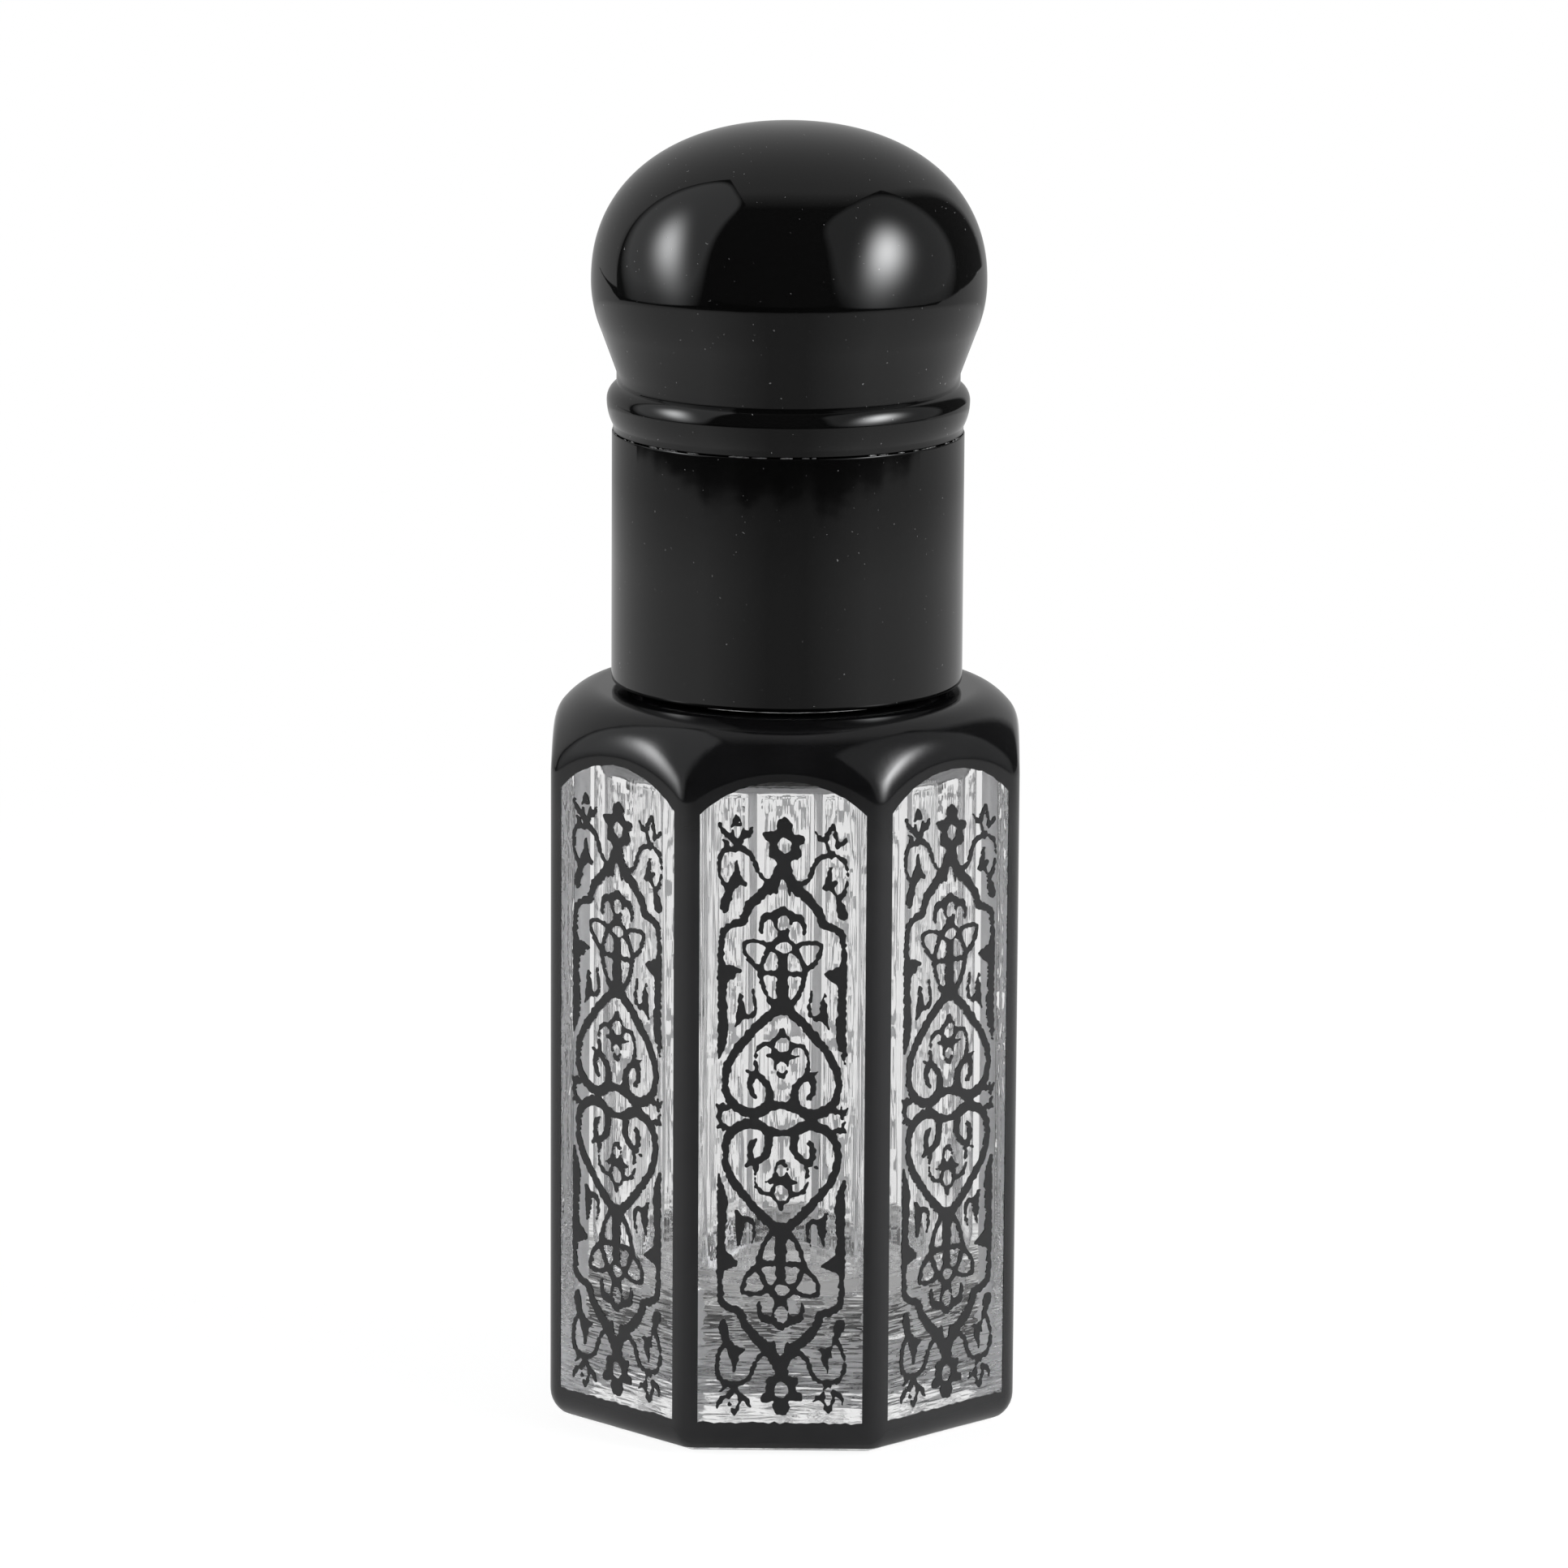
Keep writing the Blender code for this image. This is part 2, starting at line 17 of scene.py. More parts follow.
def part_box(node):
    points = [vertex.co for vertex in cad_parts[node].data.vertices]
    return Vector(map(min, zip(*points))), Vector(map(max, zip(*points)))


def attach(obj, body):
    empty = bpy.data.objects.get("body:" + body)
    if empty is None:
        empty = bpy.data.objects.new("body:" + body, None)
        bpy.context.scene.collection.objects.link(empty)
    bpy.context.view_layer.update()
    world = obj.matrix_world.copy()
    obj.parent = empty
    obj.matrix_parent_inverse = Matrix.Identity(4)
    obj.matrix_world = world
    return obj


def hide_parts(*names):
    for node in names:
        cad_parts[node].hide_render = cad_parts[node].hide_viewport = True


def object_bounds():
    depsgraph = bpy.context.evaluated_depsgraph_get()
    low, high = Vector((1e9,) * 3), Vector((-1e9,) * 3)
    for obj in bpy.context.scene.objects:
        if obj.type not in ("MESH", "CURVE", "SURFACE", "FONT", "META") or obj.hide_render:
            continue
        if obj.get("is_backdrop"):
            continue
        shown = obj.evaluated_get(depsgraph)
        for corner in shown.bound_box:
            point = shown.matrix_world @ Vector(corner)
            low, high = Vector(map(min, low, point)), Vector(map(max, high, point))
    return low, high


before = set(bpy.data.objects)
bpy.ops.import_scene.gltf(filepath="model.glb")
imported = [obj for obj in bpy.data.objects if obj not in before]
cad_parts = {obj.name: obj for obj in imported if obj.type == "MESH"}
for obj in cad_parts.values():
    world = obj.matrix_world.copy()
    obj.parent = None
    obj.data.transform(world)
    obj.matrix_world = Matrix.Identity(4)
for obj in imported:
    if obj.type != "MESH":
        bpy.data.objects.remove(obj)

bl_info = {
    "name": "Octagonal Oil Bottle",
    "version": (1, 0, 0),
    "blender": (4, 5, 0),
    "location": "3D View > Sidebar > Oil Bottle",
    "description": "Builds the looks of an octagonal oil bottle round its CAD model",
    "category": "Add Mesh",
}

MM = 0.001
WELD = 1e-6
FACETS = 8
HALF_TURN = pi / FACETS
CAD_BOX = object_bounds()

# What the solids say of themselves.
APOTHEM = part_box("lacquer_coat")[1].x
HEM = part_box("lacquer_coat")[0].z
SHOULDER_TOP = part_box("lacquer_coat")[1].z
NECK_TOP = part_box("glass_bottle")[1].z
SKIRT_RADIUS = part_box("cap_skirt")[1].x
SKIRT_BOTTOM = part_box("cap_skirt")[0].z
SKIRT_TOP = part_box("cap_skirt")[1].z
DOME_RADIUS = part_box("cap_dome")[1].x
DOME_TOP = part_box("cap_dome")[1].z
SPIGOT_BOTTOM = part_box("cap_dome")[0].z
LINER_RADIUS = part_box("cap_liner")[1].x
LINER_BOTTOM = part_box("cap_liner")[0].z
LINER_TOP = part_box("cap_liner")[1].z
WAD_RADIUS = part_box("seal_wad")[1].x
WAD_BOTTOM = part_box("seal_wad")[0].z
WAD_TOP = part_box("seal_wad")[1].z
FLANGE_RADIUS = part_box("roller_housing")[1].x
PLUG_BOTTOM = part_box("roller_housing")[0].z
LIP_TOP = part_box("roller_housing")[1].z
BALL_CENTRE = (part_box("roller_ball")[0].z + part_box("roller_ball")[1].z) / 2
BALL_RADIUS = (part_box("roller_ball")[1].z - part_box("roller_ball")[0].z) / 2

# The cap's radius at the waist under the dome, and where the bead meets the parting seam.
WAIST_RADIUS = SKIRT_RADIUS - 0.24 * MM
BEAD_FOOT_RADIUS = SKIRT_RADIUS - 0.06 * MM

# Most of a noise texture's values lie in this span.
NOISE_SPAN = {"From Min": 0.3, "From Max": 0.7}

# The height of the print's middle, and half the width and height of the field it is drawn on.
PRINT_MIDDLE = 18.5 * MM
FIELD_REACH = (4.4 * MM, 17.0 * MM)

# The print of one window, upper half, in hundredths of a millimetre: across, above the
# middle, and the width of the stroke there. Paired strokes are also drawn mirrored.
UNITS_PER_MM = 100
PAIRED_STROKES = {
    "ogee arch": [
        (-2, 1386, 48), (-18, 1337, 60), (-41, 1294, 57), (-69, 1252, 60), (-103, 1222, 58),
        (-140, 1187, 57), (-176, 1145, 50), (-199, 1101, 42), (-210, 1065, 48), (-244, 1051, 42),
        (-281, 1035, 41), (-310, 1007, 39), (-320, 956, 34), (-324, 899, 31), (-323, 850, 34),
        (-319, 815, 41),
    ],
    "thorn under the ogee": [(-34, 1266, 34), (-34, 1241, 18), (-34, 1214, 4)],
    "side bar": [
        (-319, 815, 41), (-314, 773, 54), (-316, 716, 49), (-317, 646, 45), (-314, 561, 49),
        (-311, 491, 54), (-314, 428, 53), (-323, 371, 33), (-333, 311, 4),
    ],
    "cusp, upper edge": [(-305, 807, 58), (-273, 806, 38), (-243, 800, 23), (-220, 795, 4)],
    "cusp, lower edge": [(-305, 766, 71), (-282, 772, 57), (-253, 781, 31), (-221, 793, 5)],
    "palmette leaf": [
        (5, 1132, 42), (-31, 1110, 41), (-61, 1095, 45), (-92, 1090, 42), (-108, 1067, 30),
        (-114, 1035, 22), (-114, 1002, 7),
    ],
    "palmette ring": [(-31, 1111, 34), (-35, 1069, 27), (-25, 1030, 29), (1, 1006, 48)],
    "palmette stem": [(5, 1017, 44), (5, 996, 52), (-24, 970, 38), (-60, 934, 36)],
    "wing, upper edge": [
        (6, 964, 45), (-33, 940, 39), (-67, 935, 33), (-101, 949, 27), (-145, 959, 24),
        (-183, 956, 24), (-201, 946, 20),
    ],
    "wing, side edge": [
        (-200, 950, 20), (-199, 909, 23), (-182, 866, 24), (-155, 833, 26), (-119, 804, 35),
        (-112, 778, 33), (-110, 750, 26), (-96, 701, 24), (-75, 659, 27), (-48, 621, 35),
        (3, 591, 54),
    ],
    "inner lobe, outer edge": [
        (-60, 931, 41), (-79, 902, 30), (-97, 870, 27), (-110, 834, 29), (-119, 799, 34),
    ],
    "diamond edge": [(-51, 931, 27), (-29, 907, 31), (6, 885, 41)],
    "inner lobe, inner edge": [(-29, 903, 23), (-9, 876, 23), (6, 844, 41)],
    "cross bar": [(-119, 788, 31), (-73, 789, 29), (7, 789, 29)],
    "stem": [(6, 897, 44), (4, 844, 45), (5, 781, 52), (4, 710, 56), (3, 640, 57), (2, 605, 63)],
    "hook leaf": [
        (-226, 691, 4), (-221, 646, 24), (-217, 604, 42), (-217, 569, 48), (-224, 541, 34),
        (-236, 516, 14), (-243, 497, 4),
    ],
    "hook": [
        (-207, 559, 34), (-183, 549, 29), (-161, 555, 24), (-145, 578, 22), (-141, 613, 18),
        (-147, 652, 14), (-156, 694, 4),
    ],
    "heart": [
        (8, 637, 65), (-30, 592, 56), (-77, 552, 52), (-125, 505, 50), (-173, 449, 49),
        (-220, 393, 46), (-259, 336, 46), (-286, 279, 45), (-297, 222, 39), (-296, 162, 39),
        (-283, 110, 44), (-252, 68, 49), (-211, 41, 54), (-163, 31, 58), (-116, 38, 58),
        (-77, 59, 57), (-38, 72, 45), (4, 75, 39),
    ],
    "scroll": [
        (-74, 73, 48), (-65, 115, 45), (-68, 157, 41), (-81, 192, 38), (-107, 218, 37),
        (-134, 237, 41), (-151, 240, 39),
    ],
    "scroll thorn": [(-134, 230, 30), (-161, 245, 22), (-191, 261, 4)],
    "scroll curl": [
        (-151, 233, 41), (-164, 204, 35), (-167, 172, 30), (-159, 141, 33), (-149, 124, 27),
        (-135, 108, 4),
    ],
    "tendril": [
        (-124, 233, 23), (-135, 268, 18), (-139, 311, 14), (-137, 353, 15), (-121, 385, 19),
        (-91, 405, 22), (-57, 404, 24),
    ],
    "floret": [
        (3, 497, 4), (2, 476, 31), (-13, 451, 33), (-37, 426, 30), (-49, 404, 27), (-39, 369, 30),
        (-12, 346, 34), (4, 342, 34),
    ],
    "floret tips": [(4, 334, 45), (-33, 333, 30), (-57, 339, 24), (-82, 344, 4)],
    "lower ring": [(-26, 321, 27), (-32, 299, 15), (-26, 264, 15), (-12, 241, 19), (5, 231, 18)],
    "lower tip": [(5, 244, 27), (5, 224, 4)],
    "twig": [(-282, 57, 27), (-306, 46, 23), (-323, 38, 23), (-333, 52, 15), (-348, 71, 4)],
    "twig, lower": [(-323, 38, 23), (-326, 13, 18), (-345, 1, 5)],
    "twig, upper": [(-326, 45, 15), (-312, 63, 8), (-314, 75, 4)],
}
SINGLE_STROKES = {
    "top petal": [(6, 1601, 52), (6, 1577, 86), (6, 1542, 83), (6, 1499, 75)],
    "left petal": [(-83, 1527, 45), (-64, 1524, 57), (-23, 1506, 57)],
    "right petal": [(97, 1516, 42), (76, 1510, 60), (35, 1497, 57)],
    "petal ring": [
        (6, 1531, 41), (-47, 1494, 41), (-46, 1456, 48), (7, 1418, 48), (59, 1458, 48),
        (59, 1497, 41), (6, 1531, 41),
    ],
    "lower left petal": [(-55, 1436, 52), (-33, 1426, 52), (5, 1429, 48)],
    "lower right petal": [(71, 1435, 54), (49, 1426, 52), (5, 1429, 48)],
    "finial neck": [(5, 1422, 71), (4, 1372, 76), (3, 1344, 84)],
    "left bud": [
        (-246, 1628, 4), (-246, 1607, 31), (-264, 1577, 19), (-268, 1541, 20), (-259, 1506, 24),
        (-241, 1487, 34),
    ],
    "left bud, inner edge": [
        (-241, 1607, 31), (-226, 1585, 18), (-217, 1553, 20), (-217, 1522, 24), (-241, 1487, 34),
    ],
    "left bud, outer sepal": [
        (-337, 1590, 4), (-323, 1561, 22), (-307, 1535, 26), (-278, 1520, 27), (-254, 1493, 30),
    ],
    "left bud, inner sepal": [
        (-158, 1580, 4), (-169, 1558, 18), (-179, 1538, 29), (-206, 1523, 31), (-230, 1493, 30),
    ],
    "left bud, thorn": [(-323, 1496, 7), (-305, 1488, 15), (-293, 1470, 23), (-301, 1455, 27)],
    "left bud, stalk": [(-267, 1520, 20), (-247, 1479, 41), (-245, 1461, 44)],
    "left outer arc": [
        (-240, 1458, 31), (-281, 1451, 27), (-314, 1433, 30), (-331, 1399, 23), (-336, 1350, 15),
        (-330, 1307, 15), (-317, 1269, 20), (-294, 1238, 30),
    ],
    "left inner arc": [
        (-247, 1461, 34), (-206, 1448, 31), (-168, 1424, 23), (-148, 1376, 19), (-130, 1330, 23),
        (-103, 1296, 26), (-69, 1279, 34),
    ],
    "left leaf": [
        (-246, 1388, 4), (-245, 1359, 22), (-242, 1331, 33), (-244, 1301, 57), (-247, 1276, 61),
        (-267, 1249, 45), (-289, 1217, 37),
    ],
    "left leaf, thorn": [(-239, 1285, 41), (-212, 1277, 31), (-194, 1263, 14)],
    "left club": [
        (-289, 1231, 34), (-291, 1196, 42), (-301, 1167, 50), (-304, 1136, 49), (-306, 1118, 35),
    ],
    "right bud": [
        (262, 1606, 4), (252, 1576, 30), (234, 1540, 19), (228, 1505, 19), (239, 1470, 23),
        (256, 1453, 30),
    ],
    "right bud, outer edge": [
        (263, 1576, 30), (276, 1549, 18), (284, 1514, 19), (280, 1478, 22), (256, 1453, 30),
    ],
    "right bud, inner sepal": [(171, 1560, 4), (181, 1535, 18), (198, 1518, 20), (227, 1513, 23)],
    "right bud, outer sepal": [
        (333, 1549, 4), (329, 1522, 18), (318, 1499, 24), (296, 1491, 24), (276, 1471, 23),
    ],
    "right bud, stalk": [(256, 1456, 35), (255, 1432, 38)],
    "right inner arc": [
        (255, 1435, 30), (215, 1427, 27), (183, 1409, 26), (165, 1377, 20), (149, 1327, 22),
        (124, 1288, 27), (91, 1270, 34),
    ],
    "right outer arc": [
        (255, 1435, 27), (293, 1426, 27), (324, 1402, 23), (337, 1367, 15), (341, 1318, 14),
        (335, 1275, 18), (320, 1236, 23), (298, 1205, 30),
    ],
    "right leaf": [
        (250, 1384, 4), (252, 1351, 19), (243, 1322, 30), (238, 1291, 41), (250, 1263, 30),
        (267, 1235, 18), (293, 1204, 24),
    ],
    "right leaf, thorn": [
        (197, 1254, 5), (216, 1257, 20), (243, 1266, 34), (270, 1286, 20), (285, 1290, 7),
    ],
    "right club": [
        (293, 1211, 27), (296, 1179, 33), (307, 1148, 49), (314, 1116, 57), (321, 1099, 38),
    ],
}
# Holes kept open in the print: middle across and above, half width and half height.
OPENINGS = {
    "finial eye": (6, 1480, 38, 45),
    "palmette eye": (5, 1063, 35, 44),
    "knot eye": (6, 931, 42, 33),
    "floret eye": (3, 406, 37, 42),
    "lower ring eye": (2, 278, 25, 31),
    "left bud eye": (-242, 1549, 20, 44),
    "right bud eye": (256, 1508, 20, 48),
}


def linear(colour):
    """An sRGB hex colour as linear red, green and blue."""
    channels = [int(colour[i : i + 2], 16) / 255 for i in (1, 3, 5)]
    return tuple(c / 12.92 if c <= 0.04045 else ((c + 0.055) / 1.055) ** 2.4 for c in channels)


class OilBottleSizes(bpy.types.PropertyGroup):
    """Sizes of the bottle and cap that the solids' boxes don't give."""

    corner_radius: FloatProperty(
        name="Corner Radius",
        description="Rounding of the eight upright corners",
        default=1.5 * MM,
        unit="LENGTH",
    )
    base_rounding: FloatProperty(
        name="Base Rounding",
        description="Rounding from the facets to the underside",
        default=1.55 * MM,
        unit="LENGTH",
    )
    shoulder_rise: FloatProperty(
        name="Shoulder Rise",
        description="Upright half-axis of the turned shoulder's ellipse",
        default=14.0 * MM,
        unit="LENGTH",
    )
    shoulder_overshoot: FloatProperty(
        name="Shoulder Overshoot",
        description="How far that ellipse reaches past the octagon's corners",
        default=1.62 * MM,
        unit="LENGTH",
    )
    shoulder_land: FloatProperty(
        name="Shoulder Land",
        description="Flat ledge between the shoulder's curve and the cap",
        default=0.73 * MM,
        unit="LENGTH",
    )
    crease_rounding: FloatProperty(
        name="Crease Rounding",
        description="Length over which a facet softens into the shoulder",
        default=0.8 * MM,
        unit="LENGTH",
    )
    lacquer_thickness: FloatProperty(
        name="Lacquer Thickness",
        description="Thickness of the lacquer and the print",
        default=0.075 * MM,
        unit="LENGTH",
    )
    lacquer_proud: FloatProperty(
        name="Lacquer Proud",
        description="How far the lacquer stands over the glass",
        default=0.06 * MM,
        unit="LENGTH",
    )
    window_margin: FloatProperty(
        name="Window Margin",
        description="Lacquer left between a window and the facet's edge",
        default=0.80 * MM,
        unit="LENGTH",
    )
    window_sill: FloatProperty(
        name="Window Sill",
        description="Height of a window's lower edge",
        default=1.88 * MM,
        unit="LENGTH",
    )
    arch_margin: FloatProperty(
        name="Arch Margin",
        description="Lacquer left between the top of a window's arch and the shoulder",
        default=1.15 * MM,
        unit="LENGTH",
    )
    arch_rise: FloatProperty(
        name="Arch Rise",
        description="Height of a window's arch over its sides",
        default=1.8 * MM,
        unit="LENGTH",
    )
    glass_floor: FloatProperty(
        name="Glass Floor",
        description="Thickness of the glass under the oil",
        default=7.5 * MM,
        unit="LENGTH",
    )
    cavity_radius: FloatProperty(
        name="Cavity Radius",
        description="Radius of the round hollow in the glass",
        default=7.5 * MM,
        unit="LENGTH",
    )
    neck_radius: FloatProperty(
        name="Neck Radius",
        description="Outer radius of the neck, without its thread",
        default=6.9 * MM,
        unit="LENGTH",
    )
    bore_radius: FloatProperty(
        name="Bore Radius",
        description="Radius of the neck's bore",
        default=5.5 * MM,
        unit="LENGTH",
    )
    thread_pitch: FloatProperty(
        name="Thread Pitch",
        description="Rise of the screw thread in one turn",
        default=2.5 * MM,
        unit="LENGTH",
    )
    thread_depth: FloatProperty(
        name="Thread Depth",
        description="How far the glass thread stands out of the neck",
        default=0.45 * MM,
        unit="LENGTH",
    )


class OilBottlePrint(bpy.types.PropertyGroup):
    """The tracery that is printed on each window."""

    panels: IntProperty(
        name="Panels",
        description="Number of windows round the bottle",
        default=FACETS,
        min=1,
    )
    grid: FloatProperty(
        name="Drawing Grid",
        description="Spacing at which the print's edge is worked out",
        default=0.05 * MM,
        unit="LENGTH",
    )
    spread: FloatProperty(
        name="Ink Spread",
        description="How far wet lacquer fills the inner corners",
        default=0.06 * MM,
        unit="LENGTH",
    )
    raggedness: FloatProperty(
        name="Raggedness",
        description="How far the screen's weave makes the edge waver",
        default=0.028 * MM,
        unit="LENGTH",
    )
    tilt: FloatProperty(
        name="Tilt",
        description="Slope of the print on its facet, as a share of its width",
        default=0.026,
    )
    seed: IntProperty(
        name="Seed",
        description="Seed of the wavering edge",
        default=11,
    )


class OilBottleColours(bpy.types.PropertyGroup):
    """Colours of the finishes, in linear light."""

    lacquer: FloatVectorProperty(
        name="Lacquer",
        description="Black gloss lacquer on the glass",
        subtype="COLOR",
        size=3,
        default=linear("#0d0d0e"),
    )
    # Painted sheen: the lacquer on the facets is coloured greyer, for the white surround that they
    # mirror.
    lacquer_painted_sheen: FloatVectorProperty(
        name="Lacquer Painted Sheen",
        description="The same lacquer painted greyer on the facets, as a sheen",
        subtype="COLOR",
        size=3,
        default=linear("#282829"),
    )
    undercoat: FloatVectorProperty(
        name="Undercoat",
        description="Pale side of the lacquer, seen through the glass",
        subtype="COLOR",
        size=3,
        default=linear("#fcfcfd"),
    )
    cap: FloatVectorProperty(
        name="Cap",
        description="Black plastic of the dome and skirt",
        subtype="COLOR",
        size=3,
        default=linear("#070707"),
    )
    liner: FloatVectorProperty(
        name="Liner",
        description="Black plastic of the threaded liner",
        subtype="COLOR",
        size=3,
        default=linear("#1c1c1d"),
    )
    housing: FloatVectorProperty(
        name="Roller Housing",
        description="Uncoloured plastic of the roller's housing",
        subtype="COLOR",
        size=3,
        default=linear("#e9e8e2"),
    )
    seal: FloatVectorProperty(
        name="Seal",
        description="Foamed sheet of the sealing disc",
        subtype="COLOR",
        size=3,
        default=linear("#dddcd6"),
    )


class OilBottleStage(bpy.types.PropertyGroup):
    """Camera and lamps."""

    camera_distance: FloatProperty(
        name="Camera Distance",
        description="From the lens to the bottle's axis",
        default=480 * MM,
        unit="LENGTH",
    )
    camera_bearing: FloatProperty(
        name="Camera Bearing",
        description="How far the camera stands round to the right of the front facet",
        default=radians(0.6),
        subtype="ANGLE",
    )
    camera_pitch: FloatProperty(
        name="Camera Pitch",
        description="How steeply the camera looks down",
        default=radians(11.64),
        subtype="ANGLE",
    )
    camera_roll: FloatProperty(
        name="Camera Roll",
        description="How far the camera leans",
        default=radians(0.35),
        subtype="ANGLE",
    )
    aim_height: FloatProperty(
        name="Aim Height",
        description="Height on the axis that the camera looks at",
        default=34.01 * MM,
        unit="LENGTH",
    )
    aim_aside: FloatProperty(
        name="Aim Aside",
        description="How far the camera stands to the right of the bottle",
        default=-0.11 * MM,
        unit="LENGTH",
    )
    lens: FloatProperty(
        name="Lens",
        description="Focal length in millimetres on a 36 mm sensor",
        default=204.7,
    )
    softbox_level: FloatProperty(
        name="Softbox Level",
        description="Brightness of the left softbox away from its lamp, and twice the right's",
        default=0.65,
    )
    lamp_level: FloatProperty(
        name="Lamp Level",
        description="Brightness of the soft core where the lamp sits in its box",
        default=8.0,
    )


def add(tree, kind, settings=None, links=None):
    """A new node with its settings, its constant inputs and its links.

    A link comes from a socket, or from a node whose first live output is meant.
    """
    made = tree.nodes.new(kind)
    for name, value in (settings or {}).items():
        if str(name) in made.bl_rna.properties:
            setattr(made, name, value)
        else:
            made.inputs[name].default_value = value
    for name, source in (links or {}).items():
        if isinstance(source, bpy.types.Node):
            source = next(output for output in source.outputs if output.enabled)
        tree.links.new(source, made.inputs[name])
    return made


def start_material(name, **constants):
    """A material with one Principled shader, its constants set straight on the sockets."""
    made = bpy.data.materials.new(name)
    made.use_nodes = True
    tree = made.node_tree
    shader = tree.nodes["Principled BSDF"]
    for socket, value in constants.items():
        shader.inputs[socket.replace("_", " ")].default_value = value
    place = add(tree, "ShaderNodeTexCoord")
    return made, tree, shader, place.outputs["Object"]


def mottle(tree, place, grain, stretch=(1, 1, 1), detail=2.0):
    """A pattern whose grain is this many metres across, longer along an axis by its stretch."""
    scale = [1 / (grain * share) for share in stretch]
    scaled = add(tree, "ShaderNodeMapping", {"Scale": scale}, {"Vector": place})
    settings = {"Scale": 1.0, "Detail": detail, "Roughness": 0.55}
    return add(tree, "ShaderNodeTexNoise", settings, {"Vector": scaled})


def dress(tree, shader, tint=None, gloss=None, relief=None):
    """Patterns that tint a shader, vary its roughness and raise its surface.

    The tint is a pattern with its (place, linear colour) stops, the gloss a pattern with the
    least and the most roughness, and the relief a pattern with its depth in metres.
    """
    if tint:
        pattern, stops = tint
        blend = add(tree, "ShaderNodeValToRGB", links={"Fac": pattern})
        while len(blend.color_ramp.elements) < len(stops):
            blend.color_ramp.elements.new(1.0)
        for element, (place, colour) in zip(blend.color_ramp.elements, stops):
            element.position = place
            element.color = (*colour, 1.0)
        tree.links.new(blend.outputs["Color"], shader.inputs["Base Color"])
    if gloss:
        pattern, least, most = gloss
        settings = {**NOISE_SPAN, "To Min": least, "To Max": most}
        rough = add(tree, "ShaderNodeMapRange", settings, {"Value": pattern})
        tree.links.new(rough.outputs["Result"], shader.inputs["Roughness"])
    if relief:
        pattern, depth = relief
        settings = {"Strength": 1.0, "Distance": depth}
        raised = add(tree, "ShaderNodeBump", settings, {"Height": pattern})
        tree.links.new(raised.outputs["Normal"], shader.inputs["Normal"])


def shade(colour, share):
    """A colour made darker or lighter by a share."""
    return tuple(min(1.0, channel * share) for channel in colour)


def flint_glass(name, grain, stretch, depth, detail, chill_top=None, lines=0.0):
    """Clear soda-lime glass, pressed: it bends what is behind it, and its skin ripples.

    Below the chill's top, where the gob met the cold mould first, deeper ripples lie level. The
    lines are fine upright marks of the plunger, as a share of the skin's own ripples.
    """
    made, tree, shader, place = start_material(
        name,
        Base_Color=(*linear("#fefefe"), 1.0),
        Roughness=0.0,
        IOR=1.52,
        Transmission_Weight=1.0,
    )
    skin = mottle(tree, place, grain, stretch, detail)
    if chill_top is not None:
        # How many times as deep as the skin's own ripples the level ones are.
        chill_depth = 34.0
        band = mottle(tree, place, 0.6 * MM, (7, 7, 1))
        parts = add(tree, "ShaderNodeSeparateXYZ", links={"Vector": place})
        settings = {"From Min": 0.6 * chill_top, "From Max": chill_top}
        settings |= {"To Min": chill_depth, "To Max": 0.0}
        share = add(tree, "ShaderNodeMapRange", settings, {"Value": parts.outputs["Z"]})
        links = {0: band, 1: share, 2: skin}
        skin = add(tree, "ShaderNodeMath", {"operation": "MULTIPLY_ADD"}, links)
    if lines:
        fine = mottle(tree, place, 0.14 * MM, (1, 1, 90), 1.0)
        settings = {"operation": "MULTIPLY_ADD", 1: lines}
        skin = add(tree, "ShaderNodeMath", settings, {0: fine, 2: skin})
    dress(tree, shader, relief=(skin, depth))
    return made


def gloss_lacquer(colour, sheen_colour):
    """Black stoving lacquer, sprayed: a wet gloss with a faint orange peel.

    It is painted a little greyer on the facets than on the shoulder. This painted sheen stands for
    the white surround that the facets mirror.
    """
    made, tree, shader, place = start_material("black_stoving_lacquer", IOR=1.5)
    cloud = mottle(tree, place, 3.5 * MM)
    parts = add(tree, "ShaderNodeSeparateXYZ", links={"Vector": place})
    # Painted sheen: below 33 mm the facets take the greyer colour, and above 36.5 mm the shoulder
    # is full black.
    settings = {"From Min": 33.0 * MM, "From Max": 36.5 * MM, "To Min": 0.0, "To Max": 1.0}
    climb = add(tree, "ShaderNodeMapRange", settings, {"Value": parts.outputs["Z"]})
    settings = {**NOISE_SPAN, "To Min": -0.12, "To Max": 0.12}
    uneven = add(tree, "ShaderNodeMapRange", settings, {"Value": cloud})
    sheen_to_black = add(tree, "ShaderNodeMath", {"operation": "ADD"}, {0: climb, 1: uneven})
    dress(
        tree,
        shader,
        tint=(sheen_to_black, [(0.0, sheen_colour), (1.0, colour)]),
        gloss=(cloud, 0.07, 0.13),
        relief=(mottle(tree, place, 0.7 * MM), 0.0025 * MM),
    )
    return made


def silver_undercoat(colour):
    """Aluminium-pigmented base coat, sprayed on glass: pale and softly metallic.

    Its flake is drawn some ten times as coarse as it is, so that it shows.
    """
    made, tree, shader, place = start_material("aluminium_base_coat", Metallic=1.0)
    flake = mottle(tree, place, 0.25 * MM)
    tint = (flake, [(0.3, shade(colour, 0.93)), (0.7, colour)])
    dress(tree, shader, tint, gloss=(flake, 0.38, 0.55))
    return made


def cap_plastic(name, colour, smooth, rough, waviness):
    """ABS, injection moulded and buffed: a deep black that mirrors, with a little dust."""
    made, tree, shader, place = start_material(name, IOR=1.5)
    dust = mottle(tree, place, 0.14 * MM, detail=0.0)
    dress(
        tree,
        shader,
        tint=(dust, [(0.845, colour), (0.88, linear("#7a7a7a"))]),
        gloss=(mottle(tree, place, 6.0 * MM), smooth, rough),
        relief=(mottle(tree, place, 2.4 * MM), waviness),
    )
    return made


